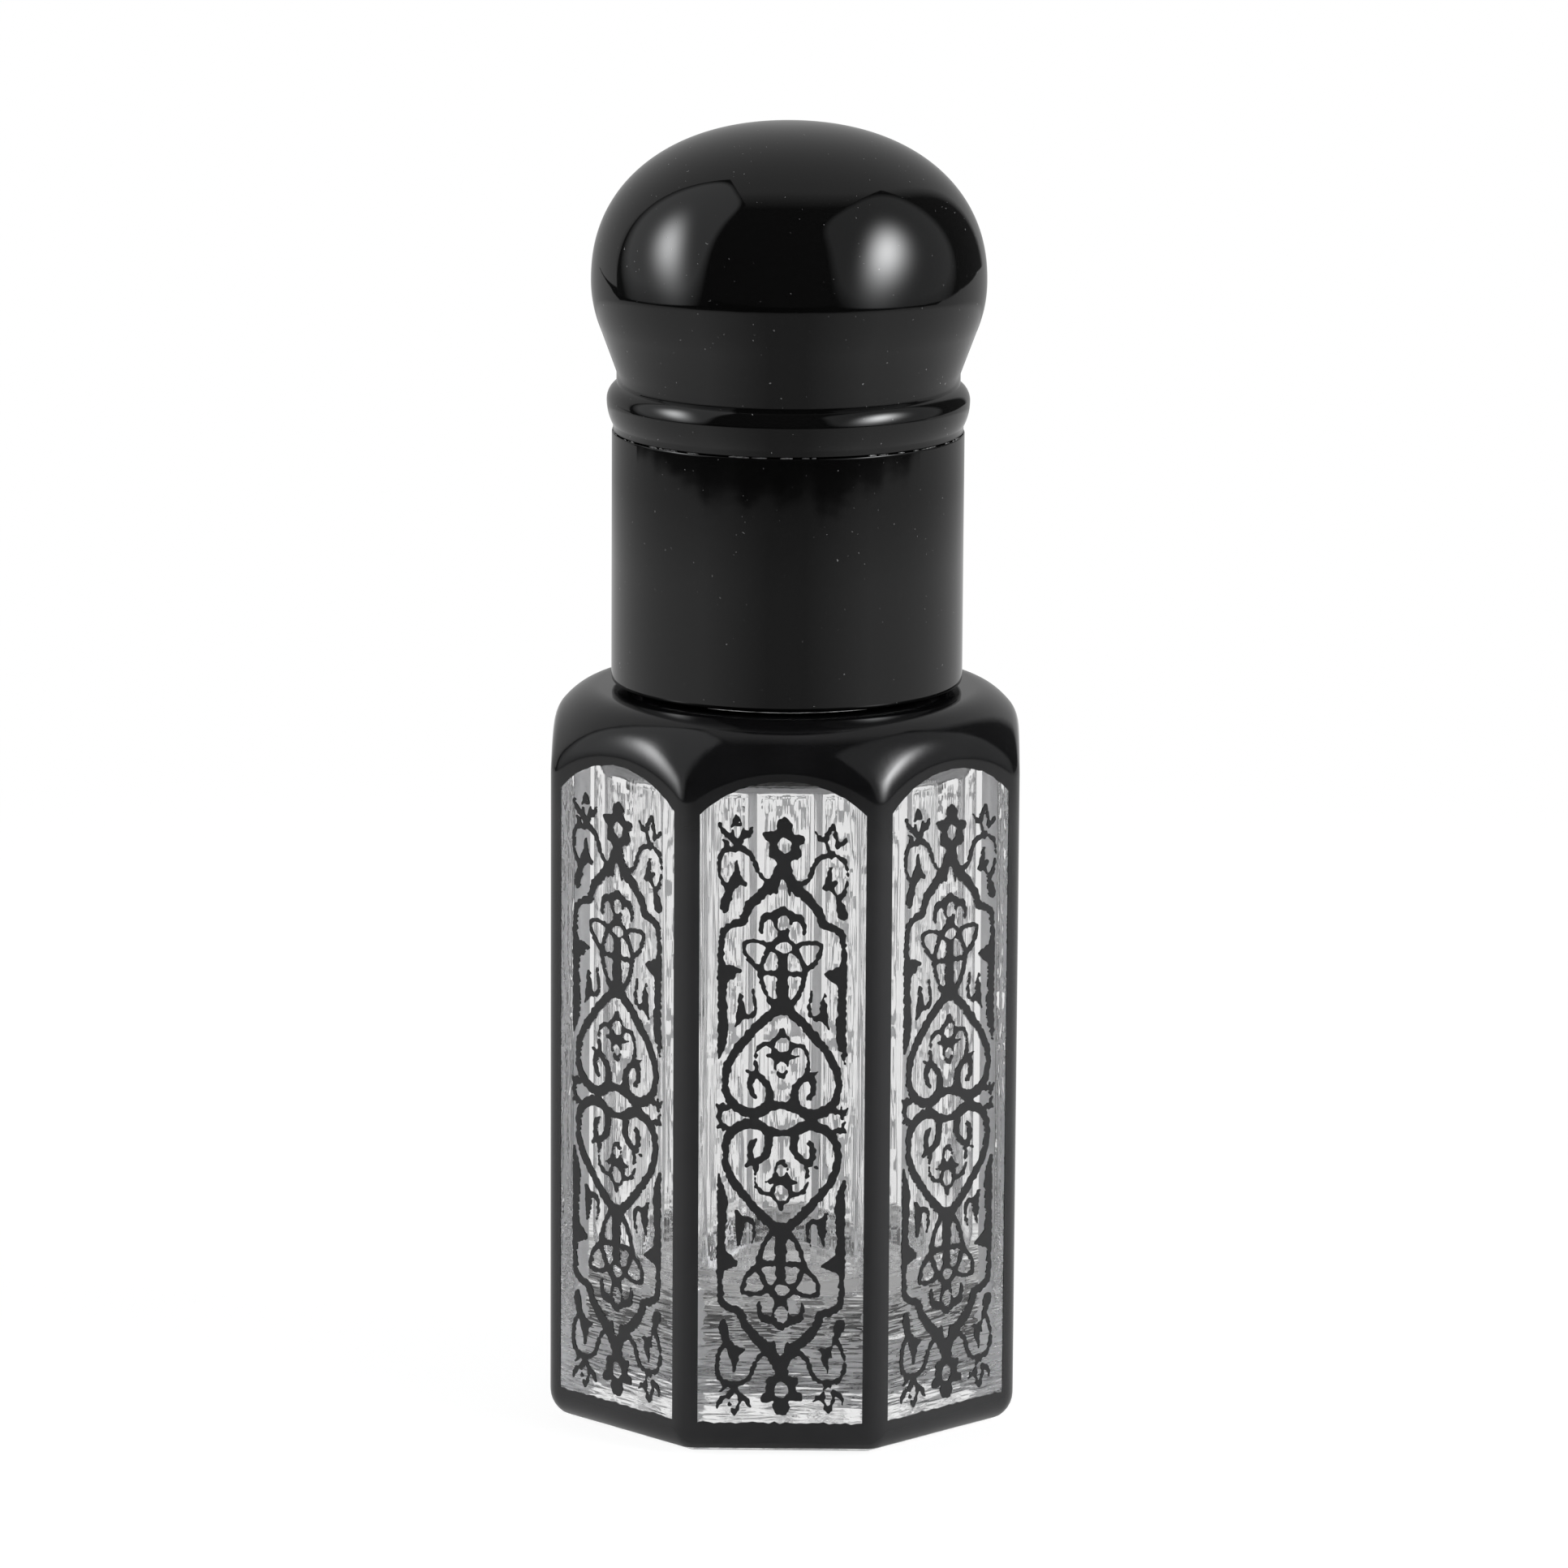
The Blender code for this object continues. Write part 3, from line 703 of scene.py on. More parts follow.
def satin_polypropylene(colour):
    """Polypropylene, injection moulded: satin, with the tool's fine spark texture."""
    made, tree, shader, place = start_material("black_moulded_polypropylene", IOR=1.49)
    grain = mottle(tree, place, 0.2 * MM)
    tint = (grain, [(0.3, shade(colour, 0.8)), (0.7, shade(colour, 1.2))])
    dress(tree, shader, tint, gloss=(grain, 0.38, 0.52), relief=(grain, 0.008 * MM))
    return made


def natural_polyethylene(colour):
    """Polyethylene, injection moulded and uncoloured: milky, waxy, lit a little from inside."""
    made, tree, shader, place = start_material(
        "natural_moulded_polyethylene",
        IOR=1.51,
        Subsurface_Weight=0.2,
        Subsurface_Radius=(1.2 * MM, 1.1 * MM, 0.9 * MM),
        Subsurface_Scale=1.0,
    )
    cloud = mottle(tree, place, 1.8 * MM)
    tint = (cloud, [(0.3, shade(colour, 0.94)), (0.7, colour)])
    dress(tree, shader, tint, gloss=(cloud, 0.30, 0.42))
    return made


def bearing_steel():
    """Stainless bearing steel, lapped and polished: a mirror with hair-fine swirls.

    The swirls are drawn coarser than they are, so that they show.
    """
    made, tree, shader, place = start_material("lapped_stainless_steel", Metallic=1.0)
    swirl = mottle(tree, place, 0.3 * MM, (1, 1, 6))
    tint = (swirl, [(0.3, linear("#c3c3c5")), (0.7, linear("#d4d4d6"))])
    dress(tree, shader, tint, gloss=(swirl, 0.05, 0.12))
    return made


def foamed_sheet(colour):
    """Expanded polyethylene sheet, die cut: matte white with fine closed cells."""
    made, tree, shader, place = start_material("expanded_polyethylene_foam", Roughness=0.85)
    scale = [1 / (0.25 * MM)] * 3
    scaled = add(tree, "ShaderNodeMapping", {"Scale": scale}, {"Vector": place})
    cells = add(tree, "ShaderNodeTexVoronoi", {"Scale": 1.0}, {"Vector": scaled})
    tint = (cells, [(0.0, shade(colour, 0.8)), (0.6, colour)])
    dress(tree, shader, tint, relief=(cells, 0.03 * MM))
    return made


def trimmed_flash():
    """ABS flash, trimmed at the seam: torn specks, pale where the plastic whitened."""
    made, tree, shader, place = start_material("trimmed_abs_flash", Roughness=0.5)
    grain = mottle(tree, place, 0.1 * MM)
    dress(tree, shader, tint=(grain, [(0.3, linear("#1a1a1a")), (0.75, linear("#8a8a8a"))]))
    return made


def bottle_finishes():
    """The three glass skins, the lacquer and its undercoat, made once."""
    colours = bpy.context.scene.oil_bottle_colours
    made = bpy.data.materials
    if "flint_glass_polished" not in made:
        flint_glass("flint_glass_polished", 5.0 * MM, (1, 1, 2), 0.004 * MM, 1.0, 11.0 * MM)
        flint_glass("flint_glass_moulded", 0.42 * MM, (1, 1, 45), 0.020 * MM, 2.0, lines=0.22)
        flint_glass("flint_glass_chilled", 1.3 * MM, (1, 1, 1), 0.060 * MM, 3.0)
        gloss_lacquer(tuple(colours.lacquer), tuple(colours.lacquer_painted_sheen))
        silver_undercoat(tuple(colours.undercoat))
    return {
        "polished": made["flint_glass_polished"],
        "moulded": made["flint_glass_moulded"],
        "chilled": made["flint_glass_chilled"],
        "lacquer": made["black_stoving_lacquer"],
        "undercoat": made["aluminium_base_coat"],
    }


def new_object(name, mesh, materials=()):
    """An object in the looks' own collection, with its finishes."""
    title = "essential_oil_bottle_looks"
    looks = bpy.data.collections.get(title)
    if not looks:
        looks = bpy.data.collections.new(title)
        bpy.context.scene.collection.children.link(looks)
    obj = bpy.data.objects.new(name, mesh)
    looks.objects.link(obj)
    for finish in materials:
        mesh.materials.append(finish)
    return obj


def bake(obj):
    """The object's evaluated mesh in place of its own, and no modifiers left."""
    graph = bpy.context.evaluated_depsgraph_get()
    mesh = bpy.data.meshes.new_from_object(obj.evaluated_get(graph))
    obj.modifiers.clear()
    obj.data = mesh
    return mesh


def tidy(mesh, sharp=35.0, outward=True):
    """Doubles merged, faces turned outwards, and edges over the angle kept sharp."""
    bm = bmesh.new()
    bm.from_mesh(mesh)
    bmesh.ops.remove_doubles(bm, verts=bm.verts, dist=WELD)
    if outward:
        bmesh.ops.recalc_face_normals(bm, faces=bm.faces)
    bm.to_mesh(mesh)
    bm.free()
    mesh.shade_smooth()
    mesh.set_sharp_from_angle(angle=radians(sharp))


def seat(obj, body, slot, *nodes):
    """Let a finished piece ride on its body and stand for the solids that it replaces."""
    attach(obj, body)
    if nodes:
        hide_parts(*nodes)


def arc(centre_radius, centre_height, run, rise, start, end, steps):
    """Profile points (radius, height) on an ellipse, from one angle to another."""
    angles = [start + (end - start) * i / steps for i in range(steps + 1)]
    return [(centre_radius + run * cos(a), centre_height + rise * sin(a)) for a in angles]


def start_tree(name, **inputs):
    """A geometry nodes tree with these named inputs, and the outputs that give them."""
    tree = bpy.data.node_groups.new(name, "GeometryNodeTree")
    for title, kind in inputs.items():
        tree.interface.new_socket(
            title.replace("_", " "), in_out="INPUT", socket_type="NodeSocket" + kind
        )
    tree.interface.new_socket("Geometry", in_out="OUTPUT", socket_type="NodeSocketGeometry")
    return tree, add(tree, "NodeGroupInput").outputs


def end_tree(tree, geometry, finish, back=None, behind=None):
    """The tree's end: copies made real, their finish, and another finish on what is behind."""
    made = add(tree, "GeometryNodeRealizeInstances", links={"Geometry": geometry})
    made = add(tree, "GeometryNodeSetMaterial", links={"Geometry": made, "Material": finish})
    if back is not None:
        links = {"Geometry": made, "Selection": behind, "Material": back}
        made = add(tree, "GeometryNodeSetMaterial", links=links)
    add(tree, "NodeGroupOutput", links={"Geometry": made})
    return tree


def run_tree(obj, tree, values):
    """Geometry nodes run once on an object, with inputs given by name, and baked."""
    modifier = obj.modifiers.new(tree.name, "NODES")
    modifier.node_group = tree
    for item in tree.interface.items_tree:
        if item.in_out == "INPUT" and item.name in values:
            modifier[item.identifier] = values[item.name]
    return bake(obj)


def turning_tree():
    """Geometry nodes that turn a profile round the Z axis and close its poles."""
    name = "Turned Piece"
    if name in bpy.data.node_groups:
        return bpy.data.node_groups[name]
    tree, given = start_tree(
        name, Profile="Geometry", Steps="Int", Path_Radius="Float", Finish="Material"
    )
    outline = add(tree, "GeometryNodeMeshToCurve", links={"Mesh": given["Profile"]})
    links = {0: given["Path Radius"]}
    inward = add(tree, "ShaderNodeMath", {"operation": "MULTIPLY", 1: -1.0}, links)
    shift = add(tree, "ShaderNodeCombineXYZ", links={"X": inward})
    moved = add(tree, "GeometryNodeTransform", links={"Geometry": outline, "Translation": shift})
    links = {"Resolution": given["Steps"], "Radius": given["Path Radius"]}
    path = add(tree, "GeometryNodeCurvePrimitiveCircle", links=links)
    upright = add(tree, "GeometryNodeSetCurveNormal", {"mode": "Z_UP"}, {"Curve": path})
    links = {"Curve": upright, "Profile Curve": moved}
    swept = add(tree, "GeometryNodeCurveToMesh", links=links)
    closed = add(tree, "GeometryNodeMergeByDistance", {"Distance": WELD}, {"Geometry": swept})
    return end_tree(tree, closed, given["Finish"])


def turned(name, profile, finish, steps=128, ring=False, sharp=35.0):
    """A piece turned from (radius, height) points. A ring's profile closes on itself."""
    points = [profile[0]]
    for point in profile[1:]:
        if hypot(point[0] - points[-1][0], point[1] - points[-1][1]) > WELD:
            points.append(point)
    edges = [(i, i + 1) for i in range(len(points) - 1)]
    if ring:
        edges.append((len(points) - 1, 0))
    mesh = bpy.data.meshes.new(name)
    # The sweep's second axis points down.
    mesh.from_pydata([(radius, -height, 0) for radius, height in points], edges, [])
    obj = new_object(name, mesh)
    # The tree moves the profile in by the path's radius, so any radius gives the same piece.
    values = {"Steps": steps, "Path Radius": 10 * MM, "Finish": finish}
    tidy(run_tree(obj, turning_tree(), values), sharp)
    return obj


def waves(count, seed, longest, shortest):
    """Random plane waves, as (direction, wave number, phase, share) rows."""
    chance = np.random.default_rng(seed)
    lengths = chance.uniform(shortest, longest, count)
    return np.column_stack(
        [
            chance.uniform(0, 2 * pi, count),
            2 * pi / lengths,
            chance.uniform(0, 2 * pi, count),
            chance.uniform(0.4, 1.0, count) * lengths / lengths.sum(),
        ]
    )


def ripple(across, along, table):
    """Height of the waves at each point, from -1 to 1."""
    total = 0.0
    for direction, number, phase, share in table:
        total = total + share * np.sin(
            number * (across * cos(direction) + along * sin(direction)) + phase
        )
    return total


class Outline:
    """The octagon's columns: a root, an outward normal, and whether a window follows."""

    def __init__(self, sizes, window_steps=30, corner_steps=6):
        core = APOTHEM - sizes.corner_radius
        flat = core * tan(HALF_TURN)
        opening = APOTHEM * tan(HALF_TURN) - sizes.window_margin
        across = [-opening + 2 * opening * i / window_steps for i in range(window_steps + 1)]
        roots, normals, window, aside = [], [], [], []
        for facet in range(FACETS):
            turn = -pi / 2 + 2 * HALF_TURN * facet
            out = np.array([cos(turn), sin(turn)])
            side = np.array([-sin(turn), cos(turn)])
            for index, place in enumerate([-flat, *across, flat]):
                roots.append(out * core + side * place)
                normals.append(out)
                window.append(0 < index <= window_steps)
                aside.append(min(opening, abs(place)))
            for index in range(1, corner_steps):
                lean = turn + 2 * HALF_TURN * index / corner_steps
                roots.append(out * core + side * flat)
                normals.append(np.array([cos(lean), sin(lean)]))
                window.append(False)
                aside.append(opening)
        self.roots = np.array(roots)
        self.normals = np.array(normals)
        self.window = np.array(window)
        self.rounding = sizes.corner_radius
        radius = (opening**2 + sizes.arch_rise**2) / (2 * sizes.arch_rise)
        self.arch = np.sqrt(radius**2 - np.array(aside) ** 2) - radius
        self.bearings = np.arctan2(*self.ring(0, 0)[:, 1::-1].T)

    def ring(self, inset, height):
        """One row of points this far inside the outline."""
        flat = self.roots + self.normals * (self.rounding - inset)
        return np.column_stack([flat, np.broadcast_to(height, len(flat))])

    def circle(self, radius, height):
        """One row of points on a circle, in the columns' directions."""
        radius = np.broadcast_to(radius, len(self.bearings))
        height = np.broadcast_to(height, len(self.bearings))
        return np.column_stack(
            [radius * np.cos(self.bearings), radius * np.sin(self.bearings), height]
        )


def shoulder_rows(outline, sizes, inset):
    """Heights of the windows' arches, and rows from a facet up the shoulder to its land.

    The rows soften the crease between the facet and the turned shoulder.
    """
    land = SKIRT_RADIUS + sizes.shoulder_land
    run = APOTHEM / cos(HALF_TURN) + sizes.shoulder_overshoot - land - inset
    rise = sizes.shoulder_rise - inset
    start = SHOULDER_TOP - sizes.shoulder_rise
    edge = outline.ring(inset, 0.0)
    distance = np.hypot(edge[:, 0], edge[:, 1])
    bearing = edge[:, :2] / distance[:, None]
    meets = np.arccos(np.clip((distance - land) / run, 0, 1))

    def on_curve(angle):
        radius = land + run * np.cos(angle)
        return np.column_stack([bearing * radius[:, None], start + rise * np.sin(angle)])

    crease = on_curve(meets)
    arch = crease[:, 2].max() - sizes.arch_margin + outline.arch
    step = sizes.crease_rounding / np.hypot(run * np.sin(meets), rise * np.cos(meets))
    low = crease - [0, 0, sizes.crease_rounding]
    high = on_curve(meets + step)
    rows = [low - [0, 0, inset / 2 + WELD * 10], low]
    for t in (0.15, 0.3, 0.5, 0.7, 0.85):
        rows.append((1 - t) ** 2 * low + 2 * t * (1 - t) * crease + t * t * high)
    rows.append(high)
    for i in range(1, 13):
        rows.append(on_curve(meets + step + (pi / 2 - meets - step) * i / 12))
    return arch, rows


def loft(name, rows, skip=None, finishes=None, start_pole=None, end_pole=None):
    """A skin over rows of points, outwards to the right of a climbing row."""
    count = len(rows[0])
    faces, marks = [], []
    for i in range(len(rows) - 1):
        for j in range(count):
            if skip is not None and skip(i, j):
                continue
            k = (j + 1) % count
            faces.append((i * count + j, i * count + k, (i + 1) * count + k, (i + 1) * count + j))
            marks.append(finishes[i] if finishes else 0)
    points = [tuple(point) for point in np.vstack(rows)]
    for pole, row in ((start_pole, 0), (end_pole, len(rows) - 1)):
        if pole is None:
            continue
        points.append(pole)
        for j in range(count):
            ring = [row * count + j, row * count + (j + 1) % count]
            if row == 0:
                ring.reverse()
            faces.append((*ring, len(points) - 1))
            marks.append(finishes[row] if finishes else 0)
    mesh = bpy.data.meshes.new(name)
    mesh.from_pydata(points, [], faces)
    mesh.polygons.foreach_set("material_index", marks)
    mesh.update()
    return mesh


class OILBOTTLE_OT_glass(bpy.types.Operator):
    """Thick glass: prism, turned shoulder, threaded neck and a rippled round hollow"""

    bl_idname = "oil_bottle.glass"
    bl_label = "Glass Bottle"

    # The finishes' places among the glass's material slots.
    skins = ("polished", "moulded", "chilled", "lacquer")
    polished, moulded, chilled, sprayed = range(4)

    def execute(self, context):
        sizes = context.scene.oil_bottle_sizes
        outline = Outline(sizes)
        skin = [*self.underside(outline, sizes), *self.sides(outline, sizes)]
        skin += [*self.neck(outline, sizes), *self.hollow(outline, sizes)]
        mesh = loft(
            "glass_bottle_clear",
            [row for row, _ in skin],
            finishes=[mark for _, mark in skin],
            start_pole=(0, 0, 0.30 * MM),
            end_pole=(0, 0, sizes.glass_floor + 0.36 * MM),
        )
        tidy(mesh, 60.0)
        finishes = bottle_finishes()
        glass = new_object(mesh.name, mesh, [finishes[name] for name in self.skins])
        seat(glass, "bottle", "clear_glass", "glass_bottle")
        return {"FINISHED"}

    def underside(self, outline, sizes):
        """A shallow push-up, with the ripples of glass that chilled on its mould."""
        chill = waves(14, 5, 4.5 * MM, 1.4 * MM)
        foot = sizes.base_rounding * 1.12
        for share in (0.12, 0.25, 0.38, 0.5, 0.62, 0.74, 0.84, 0.92):
            row = outline.ring(foot, 0.0) * [share, share, 0]
            swell = ripple(row[:, 0], row[:, 1], chill)
            row[:, 2] = (0.28 * MM + 0.10 * MM * swell) * (1 - share**4)
            yield row, self.chilled

    def sides(self, outline, sizes):
        """The rounded foot, the facets and the shoulder, all under the lacquer."""
        inset = sizes.lacquer_proud
        for i in range(7):
            lean = pi / 2 * (1 - i / 6)
            width = sizes.base_rounding * (1 - cos(lean)) + inset * cos(lean)
            yield outline.ring(width, sizes.base_rounding * (1 - sin(lean))), self.polished
        arch, shoulder = shoulder_rows(outline, sizes, inset)
        for height in (sizes.window_sill, arch):
            yield outline.ring(inset, height), self.polished
        for row in shoulder:
            yield row, self.polished

    def neck(self, outline, sizes):
        """A foot with a mist of lacquer, a thread that fades in and out, and a round rim."""
        foot, fillet = SHOULDER_TOP - sizes.lacquer_proud, 0.8 * MM
        bend = arc(sizes.neck_radius + fillet, foot + fillet, fillet, fillet, -pi / 2, -pi, 5)
        for radius, height in bend:
            yield outline.circle(radius, height), self.sprayed
        low, high, fading = foot + fillet, NECK_TOP - 0.5 * MM, 1.2 * MM
        steps, misted = 40, 4
        for i in range(1, steps + 1):
            height = low + (high - low) * i / steps
            phase = (height / sizes.thread_pitch - outline.bearings / (2 * pi)) % 1.0
            # A flat crest between sloping flanks, on some half of the pitch.
            ridge = np.clip(1.35 - np.abs(phase - 0.5) * 6.0, 0, 1)
            ridge = ridge * min(1.0, (height - low) / fading, (high - height) / fading)
            radius = sizes.neck_radius + sizes.thread_depth * ridge
            yield outline.circle(radius, height), self.sprayed if i < misted else self.polished
        rim = 0.4 * MM
        lip = arc(sizes.neck_radius - rim, NECK_TOP - rim, rim, rim, 0, pi / 2, 5)
        rim /= 2
        lip += arc(sizes.bore_radius + rim, NECK_TOP - rim, rim, rim, pi / 2, pi, 4)
        for radius, height in lip:
            yield outline.circle(radius, height), self.polished

    def hollow(self, outline, sizes):
        """Throat, wall with the plunger's upright ripples, and a rounded, sagging floor."""
        cavity, floor, bend = sizes.cavity_radius, sizes.glass_floor, 2.0 * MM
        foot = floor + bend
        ease = (cavity - sizes.bore_radius) / 2
        roof = SHOULDER_TOP - 3.5 * MM
        profile = arc(sizes.bore_radius + ease, roof + ease, ease, ease, pi, 3 * pi / 2, 6)
        profile += arc(cavity - ease, roof - ease, ease, ease, pi / 2, 0, 6)[1:]
        top = profile[-1][1]
        profile += [(cavity, top + (foot - top) * i / 26) for i in range(1, 26)]
        profile += arc(cavity - bend, foot, bend, bend, 0, -pi / 2, 30)
        plunger = waves(18, 3, 2.6 * MM, 0.7 * MM)
        upright = 0.012
        rings = waves(9, 21, 1.5 * MM, 0.6 * MM)
        for radius, height in profile:
            swell = 0.0
            # A wave counts whole turns, which closes its seam.
            if height < foot:
                # Level rings, where the plunger's nose chilled the glass.
                path = atan2(foot - height, radius - cavity + bend) * bend
                for lean, number, phase, share in rings:
                    whole = round(lean) - 3
                    swell = swell + share * np.sin(whole * outline.bearings + phase + number * path)
                swell = swell * 6.0 * min(1.0, path / (0.4 * MM))
            else:
                for lean, number, phase, share in plunger:
                    around = round(number * cavity) * outline.bearings
                    climb = number * (lean * upright) * height
                    swell = swell + share * np.sin(around + phase + climb)
                swell = swell * min(1.0, max(0.0, (roof - height) / (3 * MM)))
            mark = self.chilled if height < foot else self.moulded
            yield outline.circle(radius + 0.05 * MM * swell, height), mark
        sag = waves(14, 9, 4.0 * MM, 1.2 * MM)
        for share in (0.9, 0.78, 0.66, 0.54, 0.42, 0.3, 0.18, 0.08):
            row = outline.circle((cavity - bend) * share, floor)
            row[:, 2] += 0.10 * MM * ripple(row[:, 0], row[:, 1], sag) * (1 - share)
            row[:, 2] += 0.35 * MM * (1 - share**2)
            yield row, self.chilled


class OILBOTTLE_OT_lacquer(bpy.types.Operator):
    """Lacquer shell with an arched window on each facet, black outside and pale inside"""

    bl_idname = "oil_bottle.lacquer"
    bl_label = "Lacquer Coat"

    def execute(self, context):
        sizes = context.scene.oil_bottle_sizes
        finishes = bottle_finishes()
        outline = Outline(sizes)
        rounding = sizes.base_rounding
        rows = []
        first = asin(1 - HEM / rounding)
        for i in range(6):
            lean = first * (1 - i / 5)
            rows.append(outline.ring(rounding * (1 - cos(lean)), rounding * (1 - sin(lean))))
        arch, shoulder = shoulder_rows(outline, sizes, 0.0)
        # The masking tore at the sill, and came away cleaner from the arch.
        torn, clean = 0.036 * MM, 0.018 * MM
        chance = np.random.default_rng(4)
        waver = chance.normal(0, 1.0, (2, len(arch))) * [[torn], [clean]]
        sill = len(rows)
        rows.append(outline.ring(0.0, sizes.window_sill + waver[0]))
        rows.append(outline.ring(0.0, arch + waver[1]))
        rows += shoulder
        rows.append(outline.circle(sizes.neck_radius + 1.2 * MM, SHOULDER_TOP))
        mesh = loft("lacquer_black", rows, skip=lambda i, j: i == sill and outline.window[j])
        coat = new_object(mesh.name, mesh, [finishes["lacquer"], finishes["undercoat"]])
        wall = coat.modifiers.new("Wall", "SOLIDIFY")
        wall.thickness = sizes.lacquer_thickness
        wall.offset = -1.0
        wall.use_even_offset = True
        wall.material_offset = 1
        tidy(bake(coat), 40.0, outward=False)
        seat(coat, "bottle", "black_lacquer", "lacquer_coat")
        return {"FINISHED"}


def smooth_line(points, steps=8):
    """A smooth curve through (across, height, width) points."""
    points = np.array(points, float) * MM / UNITS_PER_MM
    ends = np.vstack([2 * points[0] - points[1], points, 2 * points[-1] - points[-2]])
    line = []
    for a, b, c, d in zip(ends, ends[1:], ends[2:], ends[3:]):
        for t in np.arange(steps) / steps:
            bend = 2 * a - 5 * b + 4 * c - d
            line.append((2 * b + (c - a) * t + bend * t * t + (3 * b - a - 3 * c + d) * t**3) / 2)
    line.append(points[-1])
    return np.array(line)


def ink_field(across, heights):
    """Distance from the ink at each grid point, less than nothing inside it."""
    grid_x, grid_z = np.meshgrid(across, heights)
    field = np.full(grid_x.shape, 1.0)
    reach, hairline, bold = 0.3 * MM, 0.04 * MM, 0.30 * MM

    def lay(line):
        for start, end in zip(line, line[1:]):
            around = max(start[2], end[2]) / 2 + reach
            low, high = np.minimum(start, end) - around, np.maximum(start, end) + around
            left, right = np.searchsorted(across, (low[0], high[0]))
            foot, head = np.searchsorted(heights, (low[1], high[1]))
            part = (slice(foot, head), slice(left, right))
            x, z = grid_x[part] - start[0], grid_z[part] - start[1]
            run, rise = end[0] - start[0], end[1] - start[1]
            share = np.clip((x * run + z * rise) / max(run * run + rise * rise, WELD**2), 0, 1)
            width = np.maximum(start[2] + (end[2] - start[2]) * share, hairline)
            # Thin strokes print a little bolder than they are drawn.
            width = width + 0.3 * np.maximum(bold - width, 0)
            gap = np.hypot(x - share * run, z - share * rise) - width / 2
            field[part] = np.minimum(field[part], gap)

    for points in PAIRED_STROKES.values():
        line = smooth_line(points)
        lay(line)
        lay(line * [-1, 1, 1])
    for points in SINGLE_STROKES.values():
        lay(smooth_line(points))
    for opening in OPENINGS.values():
        centre_x, centre_z, half_width, half_height = np.array(opening) * MM / UNITS_PER_MM
        away = np.hypot((grid_x - centre_x) / half_width, (grid_z - centre_z) / half_height)
        hole = (1 - away) * min(half_width, half_height) - 0.02 * MM
        field = np.maximum(field, hole)
    return field


def soften(field, cells):
    """The field blurred over a few cells, which rounds corners as wet ink does."""
    reach = int(3 * cells) + 1
    weights = np.exp(-0.5 * (np.arange(-reach, reach + 1) / cells) ** 2)
    weights /= weights.sum()
    for axis in (0, 1):
        field = np.apply_along_axis(
            lambda row: np.convolve(np.pad(row, reach, mode="edge"), weights, "valid"), axis, field
        )
    return field


def edge_loops(field, across, heights):
    """Closed loops where the field crosses nothing, each as an array of points."""
    inside = field < 0
    crossing = {}

    def cut(a, b):
        """The point where the field crosses the edge between two grid points."""
        share = field[a] / (field[a] - field[b])
        x = across[a[1]] + (across[b[1]] - across[a[1]]) * share
        z = heights[a[0]] + (heights[b[0]] - heights[a[0]]) * share
        return (x, z)

    total = inside[:-1, :-1].astype(int) + inside[1:, :-1] + inside[:-1, 1:] + inside[1:, 1:]
    for i, j in np.argwhere((total > 0) & (total < 4)):
        corners = [(i, j), (i, j + 1), (i + 1, j + 1), (i + 1, j)]
        marks = []
        for k in range(4):
            a, b = corners[k], corners[(k + 1) % 4]
            if inside[a] != inside[b]:
                marks.append((tuple(sorted((a, b))), inside[a]))
        # Each crossing where ink ends is followed by the next where it begins.
        leaves = [edge for edge, out in marks if out]
        enters = [edge for edge, out in marks if not out]
        if len(marks) == 4 and not inside[corners[0]]:
            enters.reverse()
        for leave, enter in zip(leaves, enters):
            crossing[leave] = enter
    loops = []
    while crossing:
        first, following = crossing.popitem()
        loop = [first]
        while following != first:
            loop.append(following)
            following = crossing.pop(following)
        loops.append(np.array([cut(*edge) for edge in loop]))
    return loops


def thinned(loop, tolerance):
    """A loop without the points that lie almost on the line between their neighbours."""
    for _ in range(2):
        before, after = np.roll(loop, 1, 0), np.roll(loop, -1, 0)
        run = after - before
        off = np.abs(run[:, 0] * (loop - before)[:, 1] - run[:, 1] * (loop - before)[:, 0])
        off /= np.maximum(np.hypot(run[:, 0], run[:, 1]), WELD)
        keep = off > tolerance
        keep[::2] = True
        loop = loop[keep]
    return loop


def panel_tree():
    """Geometry nodes that set one printed panel on each facet round the Z axis."""
    tree, given = start_tree(
        "Panels Round Bottle",
        Panel="Geometry",
        Panels="Int",
        Apothem="Float",
        Finish="Material",
        Back="Material",
    )
    links = {0: given["Apothem"]}
    front = add(tree, "ShaderNodeMath", {"operation": "MULTIPLY", 1: -1.0}, links)
    shift = add(tree, "ShaderNodeCombineXYZ", links={"Y": front})
    links = {"Geometry": given["Panel"], "Translation": shift}
    moved = add(tree, "GeometryNodeTransform", links=links)
    places = add(tree, "GeometryNodePoints", links={"Count": given["Panels"]})
    links = {0: add(tree, "GeometryNodeInputIndex"), 1: given["Panels"]}
    share = add(tree, "ShaderNodeMath", {"operation": "DIVIDE"}, links)
    turn = add(tree, "ShaderNodeMath", {"operation": "MULTIPLY", 1: 2 * pi}, {0: share})
    lean = add(tree, "ShaderNodeCombineXYZ", links={"Z": turn})
    links = {"Points": places, "Instance": moved, "Rotation": lean}
    copies = add(tree, "GeometryNodeInstanceOnPoints", links=links)
    # The back of the print is every face that looks at the axis.
    links = {0: add(tree, "GeometryNodeInputNormal"), 1: add(tree, "GeometryNodeInputPosition")}
    outward = add(tree, "ShaderNodeVectorMath", {"operation": "DOT_PRODUCT"}, links)
    level = add(tree, "ShaderNodeMath", {"operation": "MULTIPLY", 1: 0.5}, {0: front})
    behind = add(tree, "ShaderNodeMath", {"operation": "LESS_THAN"}, {0: outward, 1: level})
    return end_tree(tree, copies, given["Finish"], given["Back"], behind)


